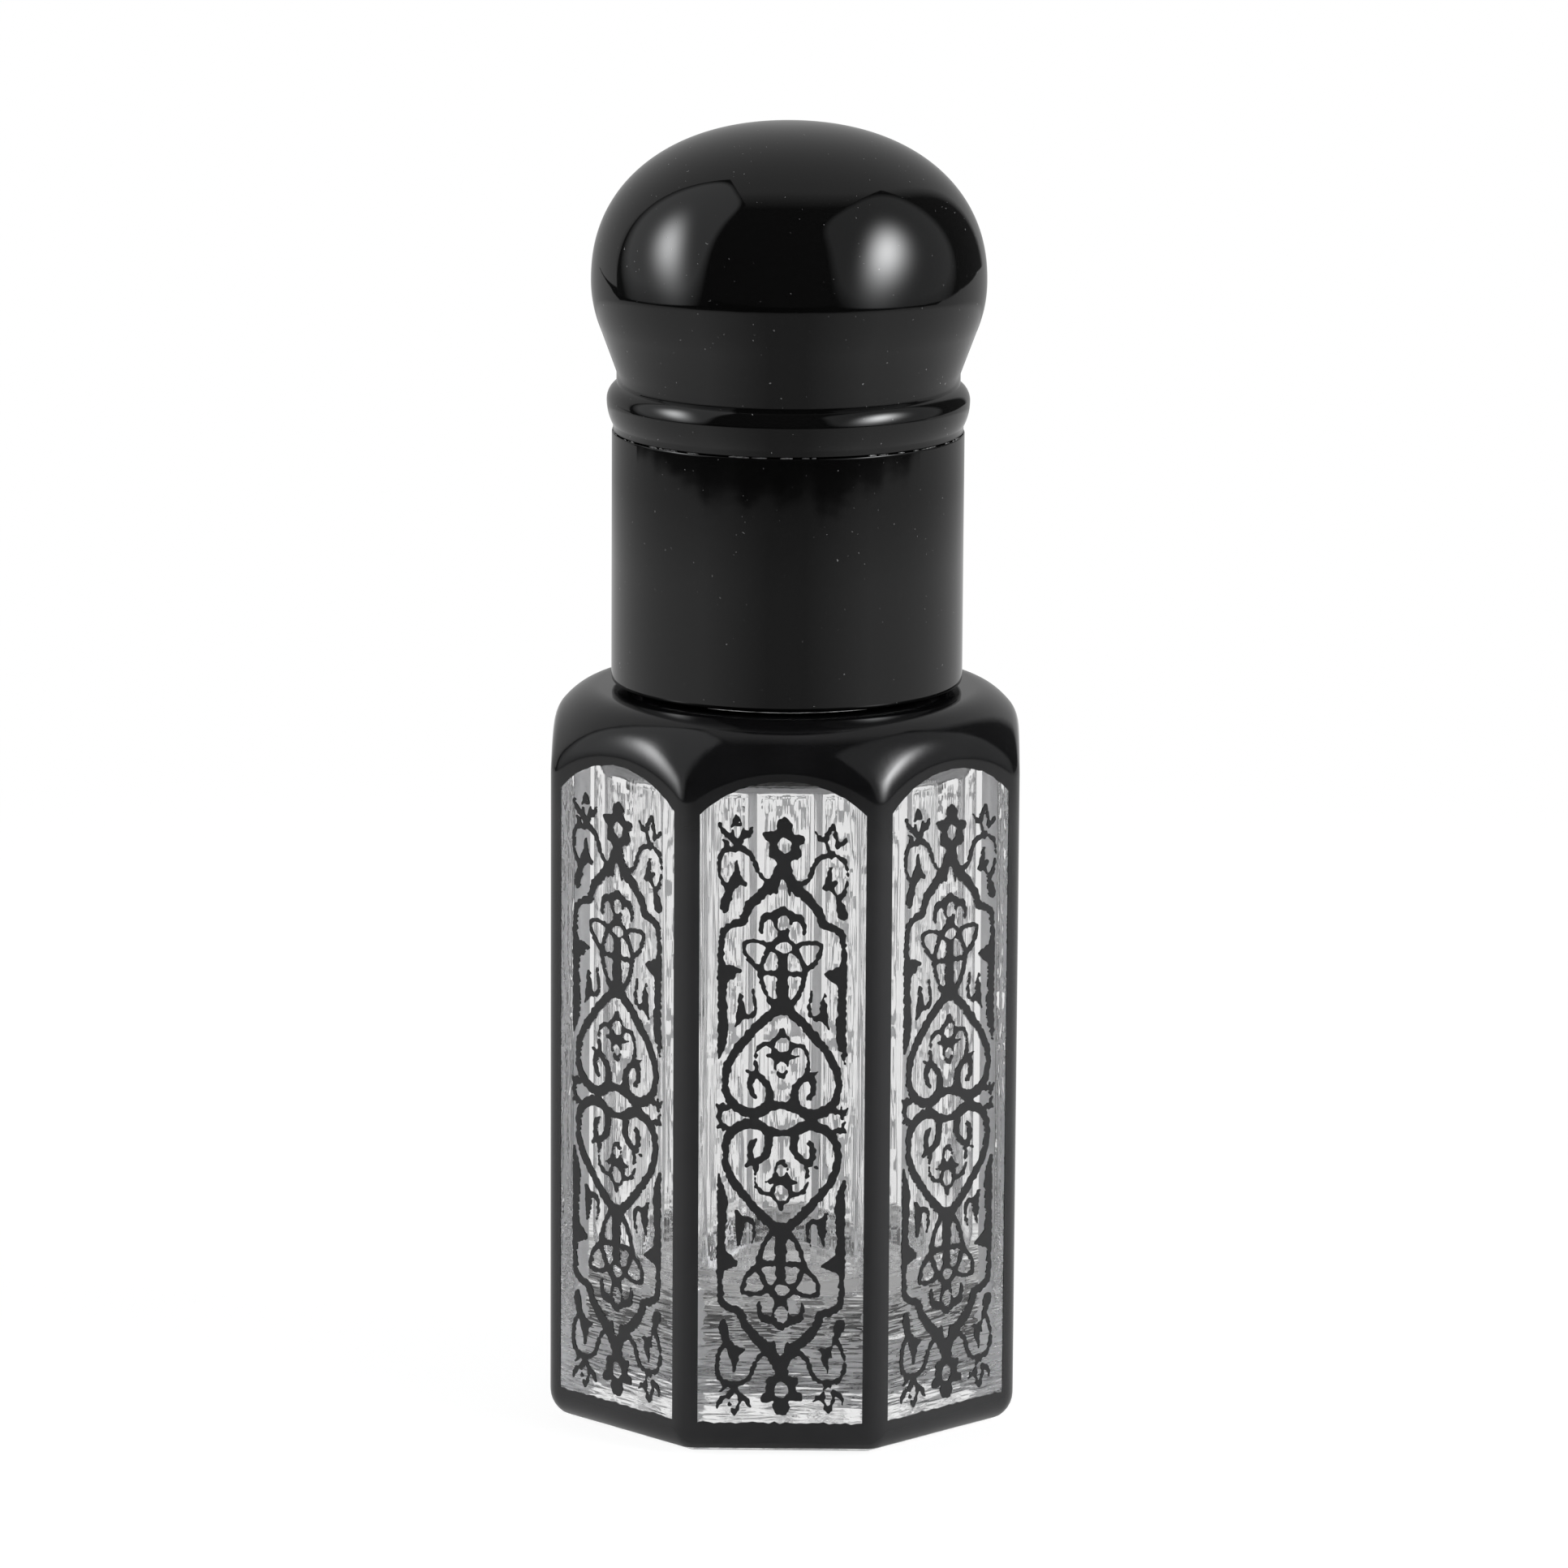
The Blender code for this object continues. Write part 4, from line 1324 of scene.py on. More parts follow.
def plate(name, loops, thickness):
    """Closed loops filled as a flat plate that stands in the XZ plane, its front at Y = 0."""
    curve = bpy.data.curves.new(name, "CURVE")
    curve.dimensions = "2D"
    curve.fill_mode = "BOTH"
    curve.extrude = thickness / 2
    for loop in loops:
        spline = curve.splines.new("POLY")
        spline.points.add(len(loop) - 1)
        places = np.column_stack([loop, np.zeros(len(loop)), np.ones(len(loop))])
        spline.points.foreach_set("co", places.ravel())
        spline.use_cyclic_u = True
    guide = new_object(name, curve)
    graph = bpy.context.evaluated_depsgraph_get()
    mesh = bpy.data.meshes.new_from_object(guide.evaluated_get(graph))
    bpy.data.objects.remove(guide, do_unlink=True)
    mesh.transform(Matrix.Translation((0, thickness / 2, 0)) @ Matrix.Rotation(pi / 2, 4, "X"))
    return mesh


class OILBOTTLE_OT_tracery(bpy.types.Operator):
    """Printed arabesque on each window: arches, hearts, knots, palmettes and buds"""

    bl_idname = "oil_bottle.tracery"
    bl_label = "Printed Tracery"

    def execute(self, context):
        sizes = context.scene.oil_bottle_sizes
        drawing = context.scene.oil_bottle_print
        cell = drawing.grid
        across = np.arange(-FIELD_REACH[0], FIELD_REACH[0], cell)
        upper = np.arange(cell / 2, FIELD_REACH[1], cell)
        heights = np.concatenate([-upper[::-1], upper])
        half = ink_field(across, upper)
        field = soften(np.vstack([half[::-1], half]), drawing.spread / cell)
        chance = np.random.default_rng(drawing.seed)
        rough = soften(chance.normal(0, 1, field.shape), 1.3)
        loops = edge_loops(field + rough / rough.std() * drawing.raggedness, across, heights)
        # Loops of fewer points are stray specks.
        fewest, tolerance = 8, 0.004 * MM
        loops = [thinned(loop, tolerance) for loop in loops if len(loop) >= fewest]
        for loop in loops:
            loop[:, 1] += PRINT_MIDDLE - drawing.tilt * loop[:, 0]
        mesh = plate("tracery_black", loops, sizes.lacquer_thickness)
        print_work = new_object("tracery_black", mesh)
        values = {
            "Panels": drawing.panels,
            "Apothem": APOTHEM,
            "Finish": bottle_finishes()["lacquer"],
            "Back": bottle_finishes()["undercoat"],
        }
        tidy(run_tree(print_work, panel_tree(), values), 40.0)
        seat(print_work, "bottle", "black_lacquer")
        return {"FINISHED"}


class OILBOTTLE_OT_roller(bpy.types.Operator):
    """Roll-on: the ribbed housing pressed into the neck, and its polished ball"""

    bl_idname = "oil_bottle.roller"
    bl_label = "Roll-on"

    def execute(self, context):
        sizes = context.scene.oil_bottle_sizes
        colours = context.scene.oil_bottle_colours
        outline = self.housing_outline(sizes)
        milky = natural_polyethylene(tuple(colours.housing))
        housing = turned("roller_housing_natural", outline, milky, ring=True)
        seat(housing, "bottle", "natural_plastic", "roller_housing")
        sphere = arc(0, BALL_CENTRE, BALL_RADIUS, BALL_RADIUS, pi / 2, -pi / 2, 40)
        sphere[0], sphere[-1] = (0, sphere[0][1]), (0, sphere[-1][1])
        ball = turned("roller_ball_steel", sphere, bearing_steel(), steps=80)
        seat(ball, "ball", "polished_steel", "roller_ball")
        return {"FINISHED"}

    def housing_outline(self, sizes):
        """Collar, flange and ribbed plug outside; bore, ball seat and snap lip inside."""
        socket = BALL_RADIUS + 0.12 * MM
        collar = socket + 0.88 * MM
        plug = sizes.bore_radius - 0.1 * MM
        bore = plug - 1.1 * MM
        flange = NECK_TOP + 0.1 * MM
        seat_hole, mouth = 2.4 * MM, 1.5 * MM
        ease = 0.3 * MM
        outline = arc(collar - ease, LIP_TOP - ease, ease, ease, pi / 2, 0, 6)
        outline += arc(collar + ease, flange + 0.7 * MM + ease, ease, ease, pi, 3 * pi / 2, 5)
        ease /= 2
        outline += arc(FLANGE_RADIUS - ease, flange + 0.55 * MM, ease, ease, pi / 2, 0, 4)
        outline += [(FLANGE_RADIUS, flange), (plug, flange)]
        # Three sealing ribs round the plug.
        for rib in (1.4, 2.7, 4.0):
            height = flange - rib * MM
            outline += arc(plug - 0.05 * MM, height, 0.12 * MM, 0.3 * MM, pi / 2, -pi / 2, 6)
        outline += [(plug, PLUG_BOTTOM + 0.5 * MM), (plug - 0.4 * MM, PLUG_BOTTOM)]
        foot, brim = -acos(seat_hole / socket), asin(mouth / socket)
        lip = arc(0, BALL_CENTRE, socket, socket, foot, brim, 24)
        outline += [(bore, PLUG_BOTTOM), (bore, lip[0][1] - 1.8 * MM)]
        return [*outline, (seat_hole, lip[0][1] - 0.9 * MM), *lip]


def ridge_tree():
    """Geometry nodes that sweep a thread's ridge along a screw line."""
    tree, given = start_tree(
        "Thread Ridge",
        Section="Geometry",
        Turns="Float",
        Radius="Float",
        Pitch="Float",
        Start="Float",
        Finish="Material",
    )
    links = {0: given["Turns"], 1: given["Pitch"]}
    height = add(tree, "ShaderNodeMath", {"operation": "MULTIPLY"}, links)
    links = {"Rotations": given["Turns"], "Height": height}
    links |= {"Start Radius": given["Radius"], "End Radius": given["Radius"]}
    line = add(tree, "GeometryNodeCurveSpiral", {"Resolution": 72}, links)
    lift = add(tree, "ShaderNodeCombineXYZ", links={"Z": given["Start"]})
    moved = add(tree, "GeometryNodeTransform", links={"Geometry": line, "Translation": lift})
    upright = add(tree, "GeometryNodeSetCurveNormal", {"mode": "Z_UP"}, {"Curve": moved})
    section = add(tree, "GeometryNodeMeshToCurve", links={"Mesh": given["Section"]})
    links = {"Curve": upright, "Profile Curve": section}
    swept = add(tree, "GeometryNodeCurveToMesh", {"Fill Caps": True}, links)
    return end_tree(tree, swept, given["Finish"])


def burr_tree():
    """Geometry nodes that scatter specks of moulding flash along the parting seam."""
    tree, given = start_tree(
        "Seam Specks",
        Speck="Geometry",
        Count="Int",
        Radius="Float",
        Height="Float",
        Seed="Int",
        Finish="Material",
    )
    places = add(tree, "GeometryNodePoints", links={"Count": given["Count"]})
    settings = {"data_type": "FLOAT", "Min": 0.0, "Max": 2 * pi}
    bearing = add(tree, "FunctionNodeRandomValue", settings, {"Seed": given["Seed"]})
    links = {"X": given["Radius"], "Z": given["Height"]}
    links = {"Vector": add(tree, "ShaderNodeCombineXYZ", links=links), "Angle": bearing}
    spot = add(tree, "ShaderNodeVectorRotate", {"rotation_type": "Z_AXIS"}, links)
    ringed = add(tree, "GeometryNodeSetPosition", links={"Geometry": places, "Position": spot})
    # Most specks are drawn out along the seam.
    settings = {"data_type": "FLOAT_VECTOR", "Min": (0.4, 0.6, 0.4), "Max": (1.0, 9.0, 1.2)}
    size = add(tree, "FunctionNodeRandomValue", settings, {"Seed": given["Seed"]})
    lean = add(tree, "ShaderNodeCombineXYZ", links={"Z": bearing})
    links = {"Points": ringed, "Instance": given["Speck"], "Rotation": lean, "Scale": size}
    copies = add(tree, "GeometryNodeInstanceOnPoints", links=links)
    return end_tree(tree, copies, given["Finish"])


def dome_outline(wall, steps):
    """The mushroom's outline this far under its skin, from its top down to the waist."""
    crown_height, fullness = 8.4 * MM, 2.2
    widest = DOME_TOP - crown_height
    power = 2 / fullness
    outline = []
    for i in range(steps + 1):
        lean = pi / 2 * (1 - i / steps)
        run = (DOME_RADIUS - wall) * max(0.0, cos(lean)) ** power if i else 0.0
        outline.append((run, widest + (crown_height - wall) * sin(lean) ** power))
    bend, sweep = 6.8 * MM, -0.40
    outline += arc(DOME_RADIUS - bend, widest, bend - wall, bend - wall, 0, sweep, steps // 3)[1:]
    return [*outline, (WAIST_RADIUS - wall, SKIRT_TOP + 3.2 * MM)]


def bead_outline(bottom, steps):
    """The bead from the waist out over its crest, tightly rounded above, fuller below."""
    crest = bottom + 1.65 * MM
    bead = SKIRT_RADIUS + 0.28 * MM
    tight, full = 1.0 * MM, 2.8 * MM
    start = acos((WAIST_RADIUS - bead + tight) / tight)
    end = -acos((BEAD_FOOT_RADIUS - bead + full) / full)
    above = arc(bead - tight, crest, tight, tight, start, 0, steps)
    return above + arc(bead - full, crest, full, full, 0, end, steps)[1:]


class OILBOTTLE_OT_cap(bpy.types.Operator):
    """Screw cap: mushroom dome with its bead, plain skirt, threaded liner, sealing disc"""

    bl_idname = "oil_bottle.cap"
    bl_label = "Screw Cap"

    def execute(self, context):
        sizes = context.scene.oil_bottle_sizes
        colours = context.scene.oil_bottle_colours
        bore = LINER_RADIUS + 0.3 * MM
        # The dome's spigot fits the skirt's bore, and the liner's drum fits the spigot.
        spigot, spigot_wall = bore - 0.12 * MM, 0.9 * MM
        self.build_dome(tuple(colours.cap), spigot, spigot_wall)
        self.build_skirt(tuple(colours.cap), bore)
        self.build_liner(tuple(colours.liner), spigot - spigot_wall - 0.2 * MM, sizes.thread_pitch)
        self.build_seal(tuple(colours.seal))
        self.build_specks()
        return {"FINISHED"}

    def build_dome(self, colour, spigot, wall):
        """The hollow mushroom with its bead, and the spigot under it."""
        bottom, edge, ease = SKIRT_TOP + 0.05 * MM, 0.04 * MM, 0.15 * MM
        outline = dome_outline(0.0, 72) + bead_outline(bottom, 16)
        outline += [(BEAD_FOOT_RADIUS, bottom + edge), (BEAD_FOOT_RADIUS - edge, bottom)]
        outline += [(spigot, bottom), (spigot, SPIGOT_BOTTOM + ease)]
        outline += [(spigot - ease, SPIGOT_BOTTOM), (spigot - wall, SPIGOT_BOTTOM)]
        outline += [(spigot - wall, bottom + 1.4 * MM), *dome_outline(1.3 * MM, 30)[::-1]]
        mirror = cap_plastic("black_buffed_abs", colour, 0.03, 0.06, 0.002 * MM)
        dome = turned("cap_dome_black", outline, mirror, steps=160, sharp=28.0)
        seat(dome, "cap", "black_gloss_plastic", "cap_dome")

    def build_skirt(self, colour, bore):
        """The plain sleeve, crisp at the parting seam and softer at its foot."""
        edge, ease = 0.04 * MM, 0.25 * MM
        outline = arc(SKIRT_RADIUS - edge, SKIRT_TOP - edge, edge, edge, pi / 2, 0, 4)
        outline += [(SKIRT_RADIUS, SKIRT_TOP - 2 * edge), (SKIRT_RADIUS, SKIRT_BOTTOM + 1.3 * ease)]
        outline += arc(SKIRT_RADIUS - ease, SKIRT_BOTTOM + ease, ease, ease, 0, -pi / 2, 6)
        outline += [(bore, SKIRT_BOTTOM), (bore, SKIRT_TOP)]
        satin = cap_plastic("black_moulded_abs", colour, 0.03, 0.05, 0.002 * MM)
        skirt = turned("cap_skirt_black", outline, satin, steps=160, ring=True)
        seat(skirt, "cap", "black_gloss_plastic", "cap_skirt")

    def build_liner(self, colour, drum, pitch):
        """The liner's sleeve and drum, and the thread ridge inside the sleeve."""
        thread_bore = LINER_RADIUS - 0.52 * MM
        shoulder, soft = SPIGOT_BOTTOM - 0.3 * MM, 0.2 * MM
        throat, ceiling = shoulder - 0.8 * MM, LINER_TOP - 1.0 * MM
        drum_bore = drum - 0.6 * MM
        outline = [(0, LINER_TOP), *arc(drum - soft, LINER_TOP - soft, soft, soft, pi / 2, 0, 4)]
        outline += [(drum, shoulder), (LINER_RADIUS, shoulder), (LINER_RADIUS, LINER_BOTTOM)]
        outline += [(thread_bore, LINER_BOTTOM), (thread_bore, throat)]
        outline += [(drum_bore, throat), (drum_bore, ceiling), (0, ceiling)]
        finish = satin_polypropylene(colour)
        liner = turned("cap_liner_black", outline, finish, steps=96)
        seat(liner, "cap", "black_moulded_plastic", "cap_liner")
        depth, root = 0.35 * MM, 0.1 * MM
        corners = [(root, -0.5 * MM), (-depth, -0.2 * MM), (-depth, 0.2 * MM), (root, 0.5 * MM)]
        edges = [(i, (i + 1) % 4) for i in range(4)]
        section = bpy.data.meshes.new("cap_liner_thread")
        section.from_pydata([(x, y, 0) for x, y in corners], edges, [])
        thread = new_object(section.name, section)
        values = {
            "Turns": 2.25,
            "Radius": thread_bore,
            "Pitch": pitch,
            "Start": LINER_BOTTOM + 0.9 * MM,
            "Finish": finish,
        }
        tidy(run_tree(thread, ridge_tree(), values))
        seat(thread, "cap", "black_moulded_plastic")

    def build_seal(self, colour):
        """The die-cut disc, pressed in a ring where the collar meets it."""
        soft = 0.08 * MM
        top, foot = WAD_TOP, WAD_BOTTOM
        outline = [(0, top), *arc(WAD_RADIUS - soft, top - soft, soft, soft, pi / 2, 0, 4)]
        outline += arc(WAD_RADIUS - soft, foot + soft, soft, soft, 0, -pi / 2, 4)
        outline += [(4.2 * MM, foot), (3.9 * MM, foot + soft), (3.6 * MM, foot), (0, foot)]
        disc = turned("seal_wad_foam", outline, foamed_sheet(colour), steps=96)
        seat(disc, "seal", "sealing_foam", "seal_wad")

    def build_specks(self):
        """Specks of flash along the seam under the bead."""
        mesh = bpy.data.meshes.new("seam_specks")
        bm = bmesh.new()
        bmesh.ops.create_icosphere(bm, subdivisions=1, radius=0.05 * MM)
        bm.to_mesh(mesh)
        bm.free()
        specks = new_object(mesh.name, mesh)
        values = {
            "Count": 110,
            "Radius": BEAD_FOOT_RADIUS,
            "Height": SKIRT_TOP + 0.03 * MM,
            "Seed": 6,
            "Finish": trimmed_flash(),
        }
        tidy(run_tree(specks, burr_tree(), values), 60.0)
        seat(specks, "cap", "black_gloss_plastic")


def softbox(name, sheet, core, level, core_level):
    """A lamp behind an upright diffuser: an even sheet, faded at its rim, with a bright core.

    The sheet is its bearing, width, height and slant, the core its bearing, climb, width and
    lean. Both lean outwards, so that the round cap mirrors them upright.
    """
    bearing, width, height, slant = sheet
    hot_bearing, hot_climb, spot_width, lean = core
    aim, distance = Vector((0, 0, 45 * MM)), 350 * MM
    # Every sheet ends this far under the height of the aim.
    foot, spot_height = 95 * MM, 120 * MM

    def towards(angle, rise):
        return Vector((cos(rise) * sin(angle), -cos(rise) * cos(angle), sin(rise)))

    facing, up = towards(bearing, 0.0), Vector((0, 0, 1))
    side = up.cross(facing)
    centre = aim + facing * distance + up * (height / 2 - foot)
    hot = towards(hot_bearing, hot_climb)
    hot = aim + hot * (distance / hot.dot(facing))
    corners = [(-1, -1), (1, -1), (1, 1), (-1, 1)]
    points = [
        centre + side * (x * width / 2 + y * slant) + up * (y * height / 2) for x, y in corners
    ]
    mesh = bpy.data.meshes.new(name)
    mesh.from_pydata([tuple(point) for point in points], [], [(0, 1, 2, 3)])
    from_core = mesh.uv_layers.new(name="from_core").data
    for loop, point in zip(from_core, points):
        away = point - hot
        loop.uv = (away.dot(side) - lean * away.dot(up), away.dot(up))
    from_middle = mesh.uv_layers.new(name="from_middle").data
    for loop, corner in zip(from_middle, corners):
        loop.uv = corner
    made = bpy.data.materials.new(name + "_diffuser")
    made.use_nodes = True
    tree = made.node_tree
    tree.nodes.clear()
    # The core falls off as a bell does: e to the power of minus the squared distance.
    place = add(tree, "ShaderNodeUVMap", {"uv_map": "from_core"})
    scale = (1 / spot_width, 1 / spot_height, 1.0)
    spot = add(tree, "ShaderNodeMapping", {"Scale": scale}, {"Vector": place})
    squared = add(tree, "ShaderNodeVectorMath", {"operation": "DOT_PRODUCT"}, {0: spot, 1: spot})
    bell = add(tree, "ShaderNodeMath", {"operation": "POWER", 0: exp(-1)}, {1: squared})
    # The sheet's rim follows a rectangle with well rounded corners.
    place = add(tree, "ShaderNodeUVMap", {"uv_map": "from_middle"})
    parts = add(tree, "ShaderNodeSeparateXYZ", links={"Vector": place}).outputs
    fourth = {"operation": "POWER", 1: 4.0}
    across, upward = (add(tree, "ShaderNodeMath", fourth, {0: parts[axis]}) for axis in "XY")
    total = add(tree, "ShaderNodeMath", {"operation": "ADD"}, {0: across, 1: upward})
    out = add(tree, "ShaderNodeMath", {"operation": "POWER", 1: 0.25}, {0: total})
    settings = {"From Min": 0.82, "From Max": 1.0, "To Min": level, "To Max": 0.04}
    even = add(tree, "ShaderNodeMapRange", settings, {"Value": out})
    settings = {"operation": "MULTIPLY_ADD", 1: core_level}
    strength = add(tree, "ShaderNodeMath", settings, {0: bell, 2: even})
    settings = {"Color": (*linear("#fdfeff"), 1.0)}
    light = add(tree, "ShaderNodeEmission", settings, {"Strength": strength})
    add(tree, "ShaderNodeOutputMaterial", links={"Surface": light})
    mesh.materials.append(made)
    lamp = bpy.data.objects.new(name, mesh)
    bpy.context.scene.collection.objects.link(lamp)
    lamp.visible_camera = False
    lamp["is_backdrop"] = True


class OILBOTTLE_OT_stage(bpy.types.Operator):
    """White table and surround, two softboxes, and the camera at the photograph's angle"""

    bl_idname = "oil_bottle.stage"
    bl_label = "Stage"

    def execute(self, context):
        stage = context.scene.oil_bottle_stage
        self.build_floor()
        self.build_surround(context.scene)
        # The right box is dimmer than the left one, and its lamp brighter.
        box, lamp = stage.softbox_level, stage.lamp_level
        sheet = (radians(-87.5), 0.51, 1.10, -0.063)
        core = (radians(-80), radians(25.5), 0.066, -0.35)
        softbox("softbox_left", sheet, core, box, lamp * 1.15)
        sheet = (radians(71), 0.74, 0.82, 0.014)
        core = (radians(63.5), radians(26.5), 0.080, 0.35)
        softbox("softbox_right", sheet, core, box * 0.6, lamp * 1.9)
        self.place_camera(context.scene, stage)
        context.scene.view_settings.view_transform = "Standard"
        # Light crosses the thick glass and its print many times before it leaves.
        cycles = context.scene.cycles
        cycles.max_bounces = cycles.transmission_bounces = 28
        cycles.glossy_bounces = 10
        return {"FINISHED"}

    def build_floor(self):
        """A white table, with what the camera, the black plastic and the glass see of it."""
        mesh = bpy.data.meshes.new("table_top")
        points = [(-0.46, -0.46), (0.46, -0.46), (0.46, 0.60), (-0.46, 0.60)]
        mesh.from_pydata([(x, y, -WELD * 20) for x, y in points], [], [(0, 1, 2, 3)])
        # Melamine laminate, pressed matte: an even white that mirrors nothing sharply.
        made, tree, shader, place = start_material("white_matte_laminate", Roughness=0.6)
        far = add(tree, "ShaderNodeVectorMath", {"operation": "LENGTH"}, {"Vector": place})
        # The lamps' light falls off towards the table's edges.
        stops = ((0.03, "#f2f2f2"), (0.075, "#d3d3d3"), (0.19, "#c4c4c4"), (0.28, "#c1c1c1"))
        stops += ((0.325, "#b0b0b0"), (0.345, "#606060"))
        dress(tree, shader, tint=(far, [(at, linear(colour)) for at, colour in stops]))
        parts = add(tree, "ShaderNodeSeparateXYZ", links={"Vector": place}).outputs
        front = add(tree, "ShaderNodeMath", {"operation": "MULTIPLY", 1: -1.0}, {0: parts["Y"]})
        turn = add(tree, "ShaderNodeMath", {"operation": "ARCTAN2"}, {0: parts["X"], 1: front})
        off_front = add(tree, "ShaderNodeMath", {"operation": "ABSOLUTE"}, {0: turn})
        shifted = add(tree, "ShaderNodeMath", {"operation": "ADD", 1: radians(10)}, {0: turn})
        off_edge = add(tree, "ShaderNodeMath", {"operation": "ABSOLUTE"}, {0: shifted})
        # Each span of a reading, and the values at its two ends.
        spans = {
            "lit": (off_front, radians(12), radians(55), 0.27, 0.60),
            "dimmed": (far, 0.26, 0.30, 1.0, 0.7),
            "front edge": (off_edge, radians(38), radians(105), 0.304, 0.323),
            "side edge": (off_edge, radians(105), radians(140), 0.0, 0.5),
            "ragged": (mottle(tree, place, 100 * MM, detail=1.0), 0.3, 0.7, -0.006, 0.006),
            "near": (far, 40 * MM, 170 * MM, 1.0, 0.0),
            "creeping light": (far, 22 * MM, 47 * MM, 0.04, 0.82),
            "light under the bottle": (far, 11 * MM, 15 * MM, 0.30, 0.0),
        }
        at = {}
        for name, (reading, start, end, first, last) in spans.items():
            settings = {"From Min": start, "From Max": end, "To Min": first, "To Max": last}
            at[name] = add(tree, "ShaderNodeMapRange", settings, {"Value": reading})
        # What the black plastic mirrors: lit aside by the lamps, dark in front, where the camera
        # stands, and gone past a ragged front edge.
        links = {0: at["front edge"], 1: at["side edge"]}
        edge = add(tree, "ShaderNodeMath", {"operation": "ADD"}, links)
        past = add(tree, "ShaderNodeMath", {"operation": "SUBTRACT"}, {0: far, 1: edge})
        past = add(tree, "ShaderNodeMath", {"operation": "ADD"}, {0: past, 1: at["ragged"]})
        settings = {"From Min": -0.004, "From Max": 0.004, "To Min": 1.0, "To Max": 0.06}
        kept = add(tree, "ShaderNodeMapRange", settings, {"Value": past})
        links = {0: at["lit"], 1: at["dimmed"]}
        mirrored = add(tree, "ShaderNodeMath", {"operation": "MULTIPLY"}, links)
        mirrored = add(tree, "ShaderNodeMath", {"operation": "MULTIPLY"}, {0: mirrored, 1: kept})
        # The glass sees light creep in under the bottle, and the contact shadow round it.
        links = {0: at["creeping light"], 1: at["light under the bottle"]}
        under = add(tree, "ShaderNodeMath", {"operation": "ADD"}, links)
        # Seen directly it is as white as the surround, and still takes the bottle's shadow.
        settings = {"operation": "MULTIPLY_ADD", 1: 0.19, 2: 1.0}
        white = add(tree, "ShaderNodeMath", settings, {0: at["near"]})
        settings = {"operation": "MULTIPLY_ADD", 1: -0.25, 2: 1.0}
        direct = add(tree, "ShaderNodeMath", settings, {0: at["near"]})
        ray = add(tree, "ShaderNodeLightPath").outputs
        level = mirrored
        for kind, seen in (("Is Transmission Ray", under), ("Is Camera Ray", white)):
            links = {"Factor": ray[kind], "A": level, "B": seen}
            level = add(tree, "ShaderNodeMix", {"data_type": "FLOAT"}, links)
        own = add(tree, "ShaderNodeEmission", links={"Strength": level})
        links = {0: direct, 1: ray["Is Camera Ray"]}
        share = add(tree, "ShaderNodeMath", {"operation": "MULTIPLY"}, links)
        for kind in ("Is Transmission Ray", "Is Glossy Ray"):
            links = {0: share, 1: ray[kind]}
            share = add(tree, "ShaderNodeMath", {"operation": "MAXIMUM"}, links)
        both = add(tree, "ShaderNodeMixShader", links={"Fac": share, 1: shader, 2: own})
        tree.links.new(both.outputs[0], tree.nodes["Material Output"].inputs["Surface"])
        mesh.materials.append(made)
        table = bpy.data.objects.new("table_top", mesh)
        bpy.context.scene.collection.objects.link(table)
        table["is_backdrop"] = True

    def build_surround(self, scene):
        """White behind the bottle and through its glass, dim in front where the room is."""
        world = bpy.data.worlds.new("studio_surround")
        world.use_nodes = True
        tree = world.node_tree
        tree.nodes.clear()
        way = add(tree, "ShaderNodeTexCoord").outputs["Generated"]
        parts = add(tree, "ShaderNodeSeparateXYZ", links={"Vector": way}).outputs
        # The white behind narrows from the zenith down to the horizon, and reaches further left.
        lower = add(tree, "ShaderNodeMath", {"operation": "SUBTRACT", 0: 1.0}, {1: parts["Z"]})
        settings = {"operation": "MULTIPLY_ADD", 1: 0.3}
        aside = add(tree, "ShaderNodeMath", settings, {0: lower, 2: parts["X"]})
        square = {"operation": "POWER", 1: 2.0}
        aside = add(tree, "ShaderNodeMath", square, {0: aside})
        height = add(tree, "ShaderNodeMath", square, {0: parts["Z"]})
        settings = {"operation": "MULTIPLY_ADD", 1: 1.3, 2: -1.8}
        narrow = add(tree, "ShaderNodeMath", settings, {0: height})
        links = {0: aside, 1: narrow, 2: parts["Y"]}
        behind = add(tree, "ShaderNodeMath", {"operation": "MULTIPLY_ADD"}, links)
        settings = {"From Min": -0.30, "From Max": -0.03, "To Min": 0.045, "To Max": 0.42}
        level = add(tree, "ShaderNodeMapRange", settings, {"Value": behind})
        ray = add(tree, "ShaderNodeLightPath").outputs
        for kind, white in (("Is Transmission Ray", 0.86), ("Is Camera Ray", 1.0)):
            settings = {"data_type": "FLOAT", "B": white}
            level = add(tree, "ShaderNodeMix", settings, {"Factor": ray[kind], "A": level})
        settings = {"Color": (1.0, 1.0, 1.0, 1.0)}
        light = add(tree, "ShaderNodeBackground", settings, {"Strength": level})
        add(tree, "ShaderNodeOutputWorld", links={"Surface": light})
        scene.world = world

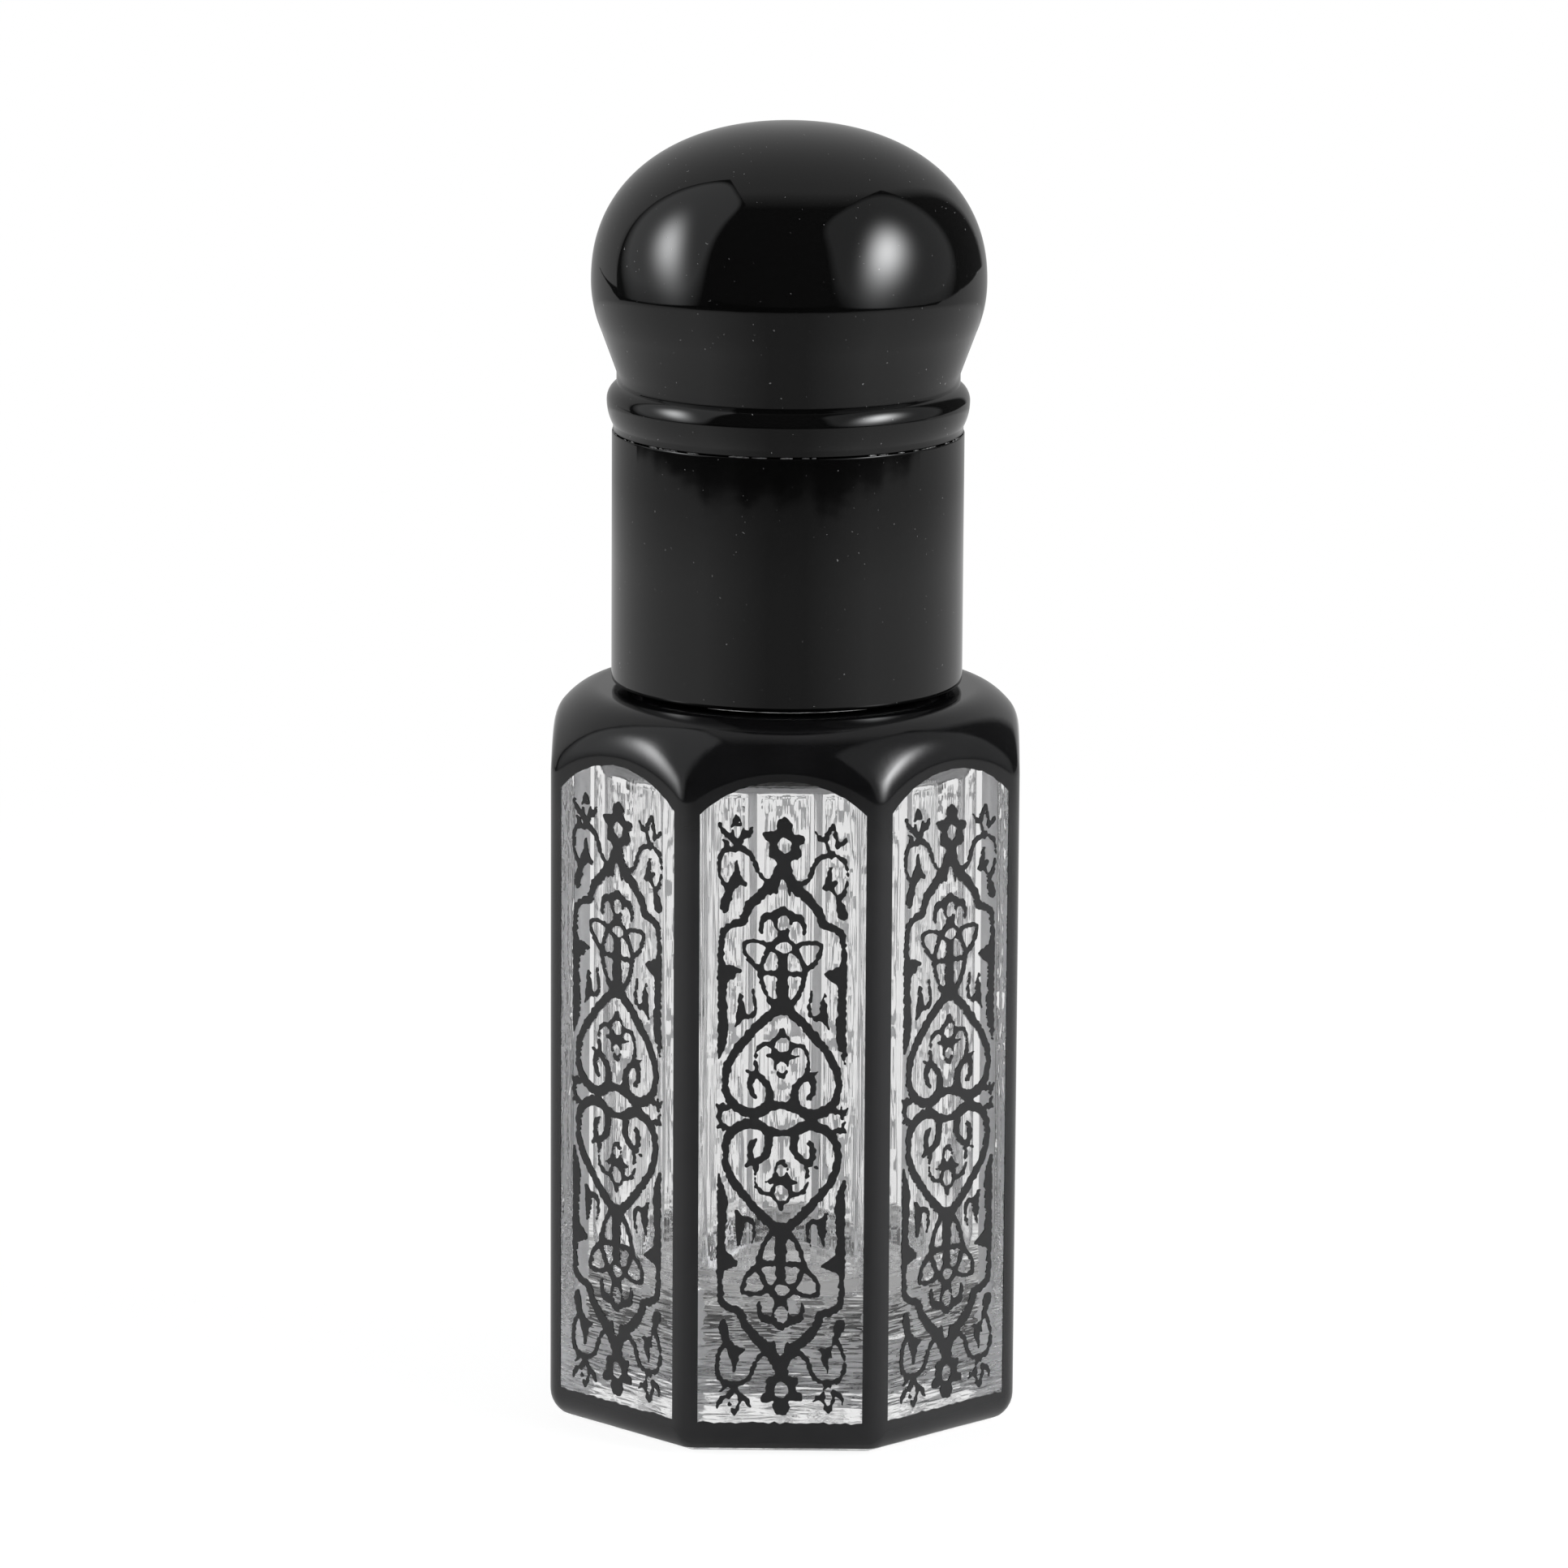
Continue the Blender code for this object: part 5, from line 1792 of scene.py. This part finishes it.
    def place_camera(self, scene, stage):
        """The camera in front of the bottle, looking down on it and leaning a little."""
        camera = bpy.data.cameras.new("photograph_view")
        camera.sensor_width = 36.0
        camera.lens = stage.lens
        camera.clip_start = 10 * MM
        camera.clip_end = 10.0
        holder = bpy.data.objects.new(camera.name, camera)
        scene.collection.objects.link(holder)
        back, up = cos(stage.camera_pitch), sin(stage.camera_pitch)
        place = Vector((0, -back, up)) * stage.camera_distance
        place += Vector((stage.aim_aside, 0, stage.aim_height))
        tilt = Matrix.Rotation(pi / 2 - stage.camera_pitch, 4, "X")
        around = Matrix.Rotation(stage.camera_bearing, 4, "Z")
        lean = Matrix.Rotation(stage.camera_roll, 4, "Z")
        holder.matrix_world = around @ Matrix.Translation(place) @ tilt @ lean
        scene.camera = holder


PIECES = (
    OILBOTTLE_OT_glass,
    OILBOTTLE_OT_lacquer,
    OILBOTTLE_OT_tracery,
    OILBOTTLE_OT_roller,
    OILBOTTLE_OT_cap,
    OILBOTTLE_OT_stage,
)


class OILBOTTLE_PT_panel(bpy.types.Panel):
    """Builds the bottle's looks piece by piece"""

    bl_label = "Oil Bottle"
    bl_space_type = "VIEW_3D"
    bl_region_type = "UI"
    bl_category = "Oil Bottle"

    def draw(self, context):
        for piece in PIECES:
            self.layout.operator(piece.bl_idname)


GROUPS = {
    "oil_bottle_sizes": OilBottleSizes,
    "oil_bottle_print": OilBottlePrint,
    "oil_bottle_colours": OilBottleColours,
    "oil_bottle_stage": OilBottleStage,
}


def register():
    for group in (*GROUPS.values(), *PIECES, OILBOTTLE_PT_panel):
        bpy.utils.register_class(group)
    for name, group in GROUPS.items():
        setattr(bpy.types.Scene, name, PointerProperty(type=group))


def unregister():
    for name in GROUPS:
        delattr(bpy.types.Scene, name)
    for group in reversed((*GROUPS.values(), *PIECES, OILBOTTLE_PT_panel)):
        bpy.utils.unregister_class(group)


def main():
    register()
    bpy.ops.oil_bottle.glass()
    bpy.ops.oil_bottle.lacquer()
    bpy.ops.oil_bottle.tracery()
    bpy.ops.oil_bottle.roller()
    bpy.ops.oil_bottle.cap()
    bpy.ops.oil_bottle.stage()
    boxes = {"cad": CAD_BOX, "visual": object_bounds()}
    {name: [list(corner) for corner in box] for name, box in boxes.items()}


if __name__ == "__main__":
    main()
